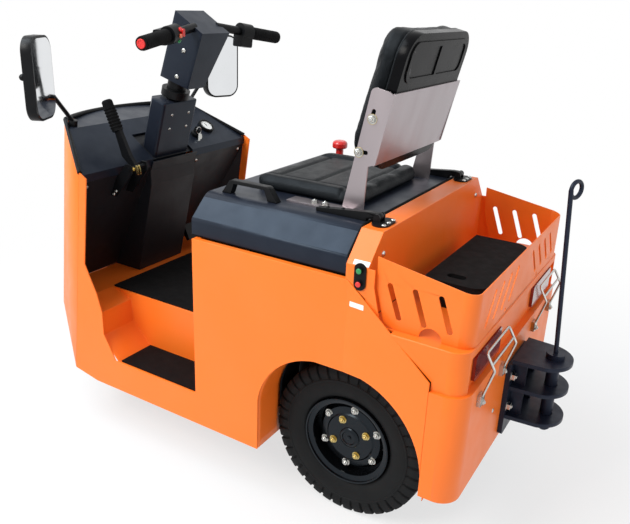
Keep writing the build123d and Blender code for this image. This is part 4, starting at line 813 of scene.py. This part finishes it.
lock = on_console(-153, 56, 7)
put("key_lock", turned([(0, -1), (14, -1), (14, 2), (11, 4.5), (8, 5), (0, 5)], lock, CONSOLE_OUT, 32),
    CHASSIS, PLASTIC)
# Two keys hang from a ring on the lock: turned a little to the left and to the right
turn = np.linspace(0, 2 * math.pi, 25)[:-1]
ring = lock + CONSOLE_OUT * 0.024 + np.stack([0 * turn, 0.011 * np.sin(turn), 0.011 * np.cos(turn) - 0.009], -1)
first = lock + CONSOLE_OUT * 0.026 + np.array((-0.004, 0.004, -0.034))
second = lock + CONSOLE_OUT * 0.024 + np.array((-0.001, -0.006, -0.030))
keys = [tube(ring, 1.0, 8, closed=True, ref=AHEAD),
        slab(rounded(9, 30, 2, 4), first, (0, 1, 0.15), (0, -0.15, 1), 1.6),
        slab(rounded(16, 18, 6, 5), second, (0, 1, -0.2), (0, 0.2, 1), 1.8)]
put("hanging_keys", keys, CHASSIS, ZINC)

GRIP_RIB = 7.5               # mm from one rib of a grip sleeve to the next
GRIP_END = [(0, 1), (12.5, 1), (12.5, 3), (11.5, 4.6), (8.5, 4.6), (7.5, 3.2), (0, 3.2)]
for side, sign in SIDES:
    root, tip = at(668, sign * 48, 1153), at(626, sign * 292, 1120)
    along = unit(tip - root)
    run = np.linspace(-108, -3, 64)
    ribs = 17.3 + 0.9 * np.abs(np.sin(run * math.pi / GRIP_RIB)) ** 0.6
    sleeve = [(15, -108), *zip(ribs, run), (15, -3)]
    put(f"grip_sleeve_{side}", turned(sleeve, tip, along, 36), BARS, RUBBER, sharp=50)
    put(f"grip_end_{side}", turned(GRIP_END, tip, along, 32), BARS, RED if sign > 0 else RUBBER)


# Push buttons and the rocker stand on the switch blocks where a line from the driver meets them
DRIVER = 560
for name, left, up, radius, skin in (("horn_button", 146, 1150, 6.5, RED), ("turn_button", 150, 1135, 5.5, AMBER),
                                     ("reverse_button", 147, 1122, 5.0, GREEN)):
    spot, out = landing("switch_blocks", at(DRIVER, left, up), AHEAD)
    button = [(0, -1), (radius, -1), (radius, 2.8), (radius - 1.2, 4.0), (0, 4.0)]
    put(name, turned(button, spot, out, 28), BARS, skin)
spot, _ = landing("switch_blocks", at(DRIVER, 141, 1143), AHEAD)
rocker = plate(rounded(9, 20, 3, 5), spot, LEFT, UP, [(1, -6), (1, 5), (0.9, 7), (0.6, 8)])
put("drive_rocker", rocker, BARS, RED)

# The handbrake's sleeve: ridges every 9 mm along the lever, up to 66 mm, and a rounded end
lever = unit((69, 0, 145))
grip_foot = at(WHEELBASE - 69, 200, 948) - 0.090 * lever
run = np.linspace(4, 84, 90)
ridge = 15.4 + 1.9 * smooth_step(np.sin(run * 2 * math.pi / 9.0), -0.2, 0.5) * (run < 66)
sleeve = [(13, 4), *zip(ridge, run), (15, 87), (12, 90.5), (0, 91.5)]
put("brake_grip_sleeve", turned(sleeve, grip_foot, lever, 32), CHASSIS, RUBBER, sharp=60)
links = [slab(rounded(8, 26, 2, 4), at(738, 210 + step, 770), (-1, 0, 0.2), (0.2, 0, 1), 2.4) for step in (0, 9)]
links += hexagon(at(752, 221, 771), LEFT, 9, 5)
put("brake_links", links, CHASSIS, GOLD, sharp=40)
cheeks = dome(at(812, 234.2, 700), LEFT, 5, 3) + dome(at(822, 234.2, 690), LEFT, 5, 3)
put("brake_cheek_bolts", cheeks, CHASSIS, ZINC)

ball = at(902, 436, 1025)
half_turn = np.linspace(-1.57, 1.57, 14)
put("mirror_knob", [turned([(9 * math.cos(t), 9 * math.sin(t)) for t in half_turn], ball, UP, 20),
                    tube(np.linspace(ball, ball + np.array((0.004, -0.02, 0)), 4), 4, 12)],
    CHASSIS, PLASTIC)


# Plates and buttons on the left side

BESIDE = 430  # a line that starts here and runs to the right meets the left side
put("shoulder_plate", slab(rounded(38, 12, 1.0, 4), at(-50, 361.0, 720.5), (-1, 0, 0), (0, -61, 64), 0.6, 0.2),
    CHASSIS, WHITE)
spot, _ = landing("side_panel_left", at(-48, BESIDE, 624), RIGHT)
put("flank_plate", slab(rounded(36, 12, 1.0, 4), spot, (-1, 0.1, 0), UP, 0.6, 0.2), CHASSIS, WHITE)
for name, up, skin in (("start_button", 707, GREEN), ("halt_button", 677, RED)):
    spot, out = landing("side_buttons", at(-51.5, BESIDE, up), RIGHT)
    put(name, turned([(0, -1), (6.2, -1), (6.2, 1.4), (5.2, 2.4), (0, 2.6)], spot, out, 28), CHASSIS, skin)


# Floor, light and camera

def seen(nodes, links):
    """1 for rays from the camera, from a reflection or through glass, and 0 for rays that carry soft light."""
    ray = nodes.new("ShaderNodeLightPath")
    first, second = nodes.new("ShaderNodeMath"), nodes.new("ShaderNodeMath")
    for pick, a, b in ((first, ray.outputs["Is Camera Ray"], ray.outputs["Is Glossy Ray"]),
                       (second, first.outputs[0], ray.outputs["Is Transmission Ray"])):
        pick.operation = "MAXIMUM"
        links.new(a, pick.inputs[0])
        links.new(b, pick.inputs[1])
    return second.outputs[0]


def floor():
    """A wide pale floor. Seen by the camera, in a reflection or through glass it fades to white with the distance
    from the tug: share of white = soft step of the distance, from about two thirds beside the tug to all of it
    further off."""
    fade_from, fade_to, least_white = 0.7, 2.3, 0.68
    mesh = bpy.data.meshes.new("floor")
    mesh.from_pydata([(-30, -30, 0), (30, -30, 0), (30, 30, 0), (-30, 30, 0)], [], [(0, 1, 2, 3)])
    obj = bpy.data.objects.new("floor", mesh)
    bpy.context.scene.collection.objects.link(obj)
    skin = finish("studio_floor", srgb(240, 240, 240), 0.7, blotch=(0.8, 0.01), grain=(60.0, 0.00005))
    nodes, links = skin.node_tree.nodes, skin.node_tree.links
    place = nodes.new("ShaderNodeTexCoord")
    reach = nodes.new("ShaderNodeVectorMath")
    reach.operation = "LENGTH"
    links.new(place.outputs["Object"], reach.inputs[0])
    fade = nodes.new("ShaderNodeMapRange")
    fade.interpolation_type = "SMOOTHSTEP"
    limits = {"From Min": fade_from, "From Max": fade_to, "To Min": least_white, "To Max": 1.0}
    for key, number in limits.items():
        fade.inputs[key].default_value = number
    links.new(reach.outputs["Value"], fade.inputs["Value"])
    share = nodes.new("ShaderNodeMath")
    share.operation = "MULTIPLY"
    links.new(fade.outputs["Result"], share.inputs[0])
    links.new(seen(nodes, links), share.inputs[1])
    white = nodes.new("ShaderNodeEmission")
    mix = nodes.new("ShaderNodeMixShader")
    links.new(share.outputs[0], mix.inputs["Fac"])
    links.new(nodes["Principled BSDF"].outputs["BSDF"], mix.inputs[1])
    links.new(white.outputs["Emission"], mix.inputs[2])
    links.new(mix.outputs["Shader"], nodes["Material Output"].inputs["Surface"])
    mesh.materials.append(skin)


def lamp(name, place, target, size, power, colour):
    """A square soft lamp at a place, facing a target: metres and watts."""
    data = bpy.data.lights.new(name, "AREA")
    data.size = size
    data.energy = power
    data.color = colour
    obj = bpy.data.objects.new(name, data)
    bpy.context.scene.collection.objects.link(obj)
    obj.location = place
    obj.rotation_euler = (Vector(target) - Vector(place)).to_track_quat("-Z", "Y").to_euler()


def sky():
    """A pale sky that lights the object softly, and shows white to the camera, in reflections and through
    glass."""
    world = bpy.data.worlds.new("sky")
    bpy.context.scene.world = world
    world.use_nodes = True
    nodes, links = world.node_tree.nodes, world.node_tree.links
    nodes.clear()
    out = nodes.new("ShaderNodeOutputWorld")
    mix = nodes.new("ShaderNodeMixShader")
    links.new(seen(nodes, links), mix.inputs["Fac"])
    for slot, colour, strength in ((1, (0.93, 0.96, 1.0, 1), 0.55), (2, (1, 1, 1, 1), 1.0)):
        light = nodes.new("ShaderNodeBackground")
        light.inputs["Color"].default_value = colour
        light.inputs["Strength"].default_value = strength
        links.new(light.outputs[0], mix.inputs[slot])
    links.new(mix.outputs[0], out.inputs["Surface"])


def camera():
    """The photograph's view: placed by its fitted place and its three turning angles. The lens and the two shifts
    give the fitted focal length and the picture's middle."""
    place = (-0.9931, 1.5694, 1.2408)
    heading, dip, roll = (math.radians(a) for a in (-59.14, 20.24, -2.24))
    ahead = Vector((math.cos(heading) * math.cos(dip), math.sin(heading) * math.cos(dip), -math.sin(dip)))
    right = Vector((ahead.y, -ahead.x, 0)).normalized()
    down = ahead.cross(right)
    across = right * math.cos(roll) + down * math.sin(roll)
    below = down * math.cos(roll) - right * math.sin(roll)
    data = bpy.data.cameras.new("camera")
    data.lens = 39.09
    data.sensor_width = 36
    data.sensor_fit = "HORIZONTAL"
    data.shift_x = 0.0046
    data.shift_y = -0.0184
    data.clip_end = 100
    obj = bpy.data.objects.new("camera", data)
    bpy.context.scene.collection.objects.link(obj)
    turn = Matrix((across, -below, -ahead)).transposed().to_4x4()
    obj.matrix_world = Matrix.Translation(place) @ turn
    bpy.context.scene.camera = obj


WARM, COOL, DAYLIGHT = (1.0, 0.97, 0.92), (0.93, 0.96, 1.0), (0.85, 0.93, 1.0)
floor()
sky()
lamp("key", (1.2, 3.4, 3.6), (0, 0, 0.5), 1.8, 125, WARM)
lamp("fill", (-4.0, 0.8, 2.0), (0, 0, 0.5), 3.0, 22, COOL)
lamp("overhead", (1.45, 1.15, 3.3), (-0.1, 0.2, 0.7), 2.0, 75, DAYLIGHT)
camera()
bpy.context.scene.view_settings.view_transform = "Standard"
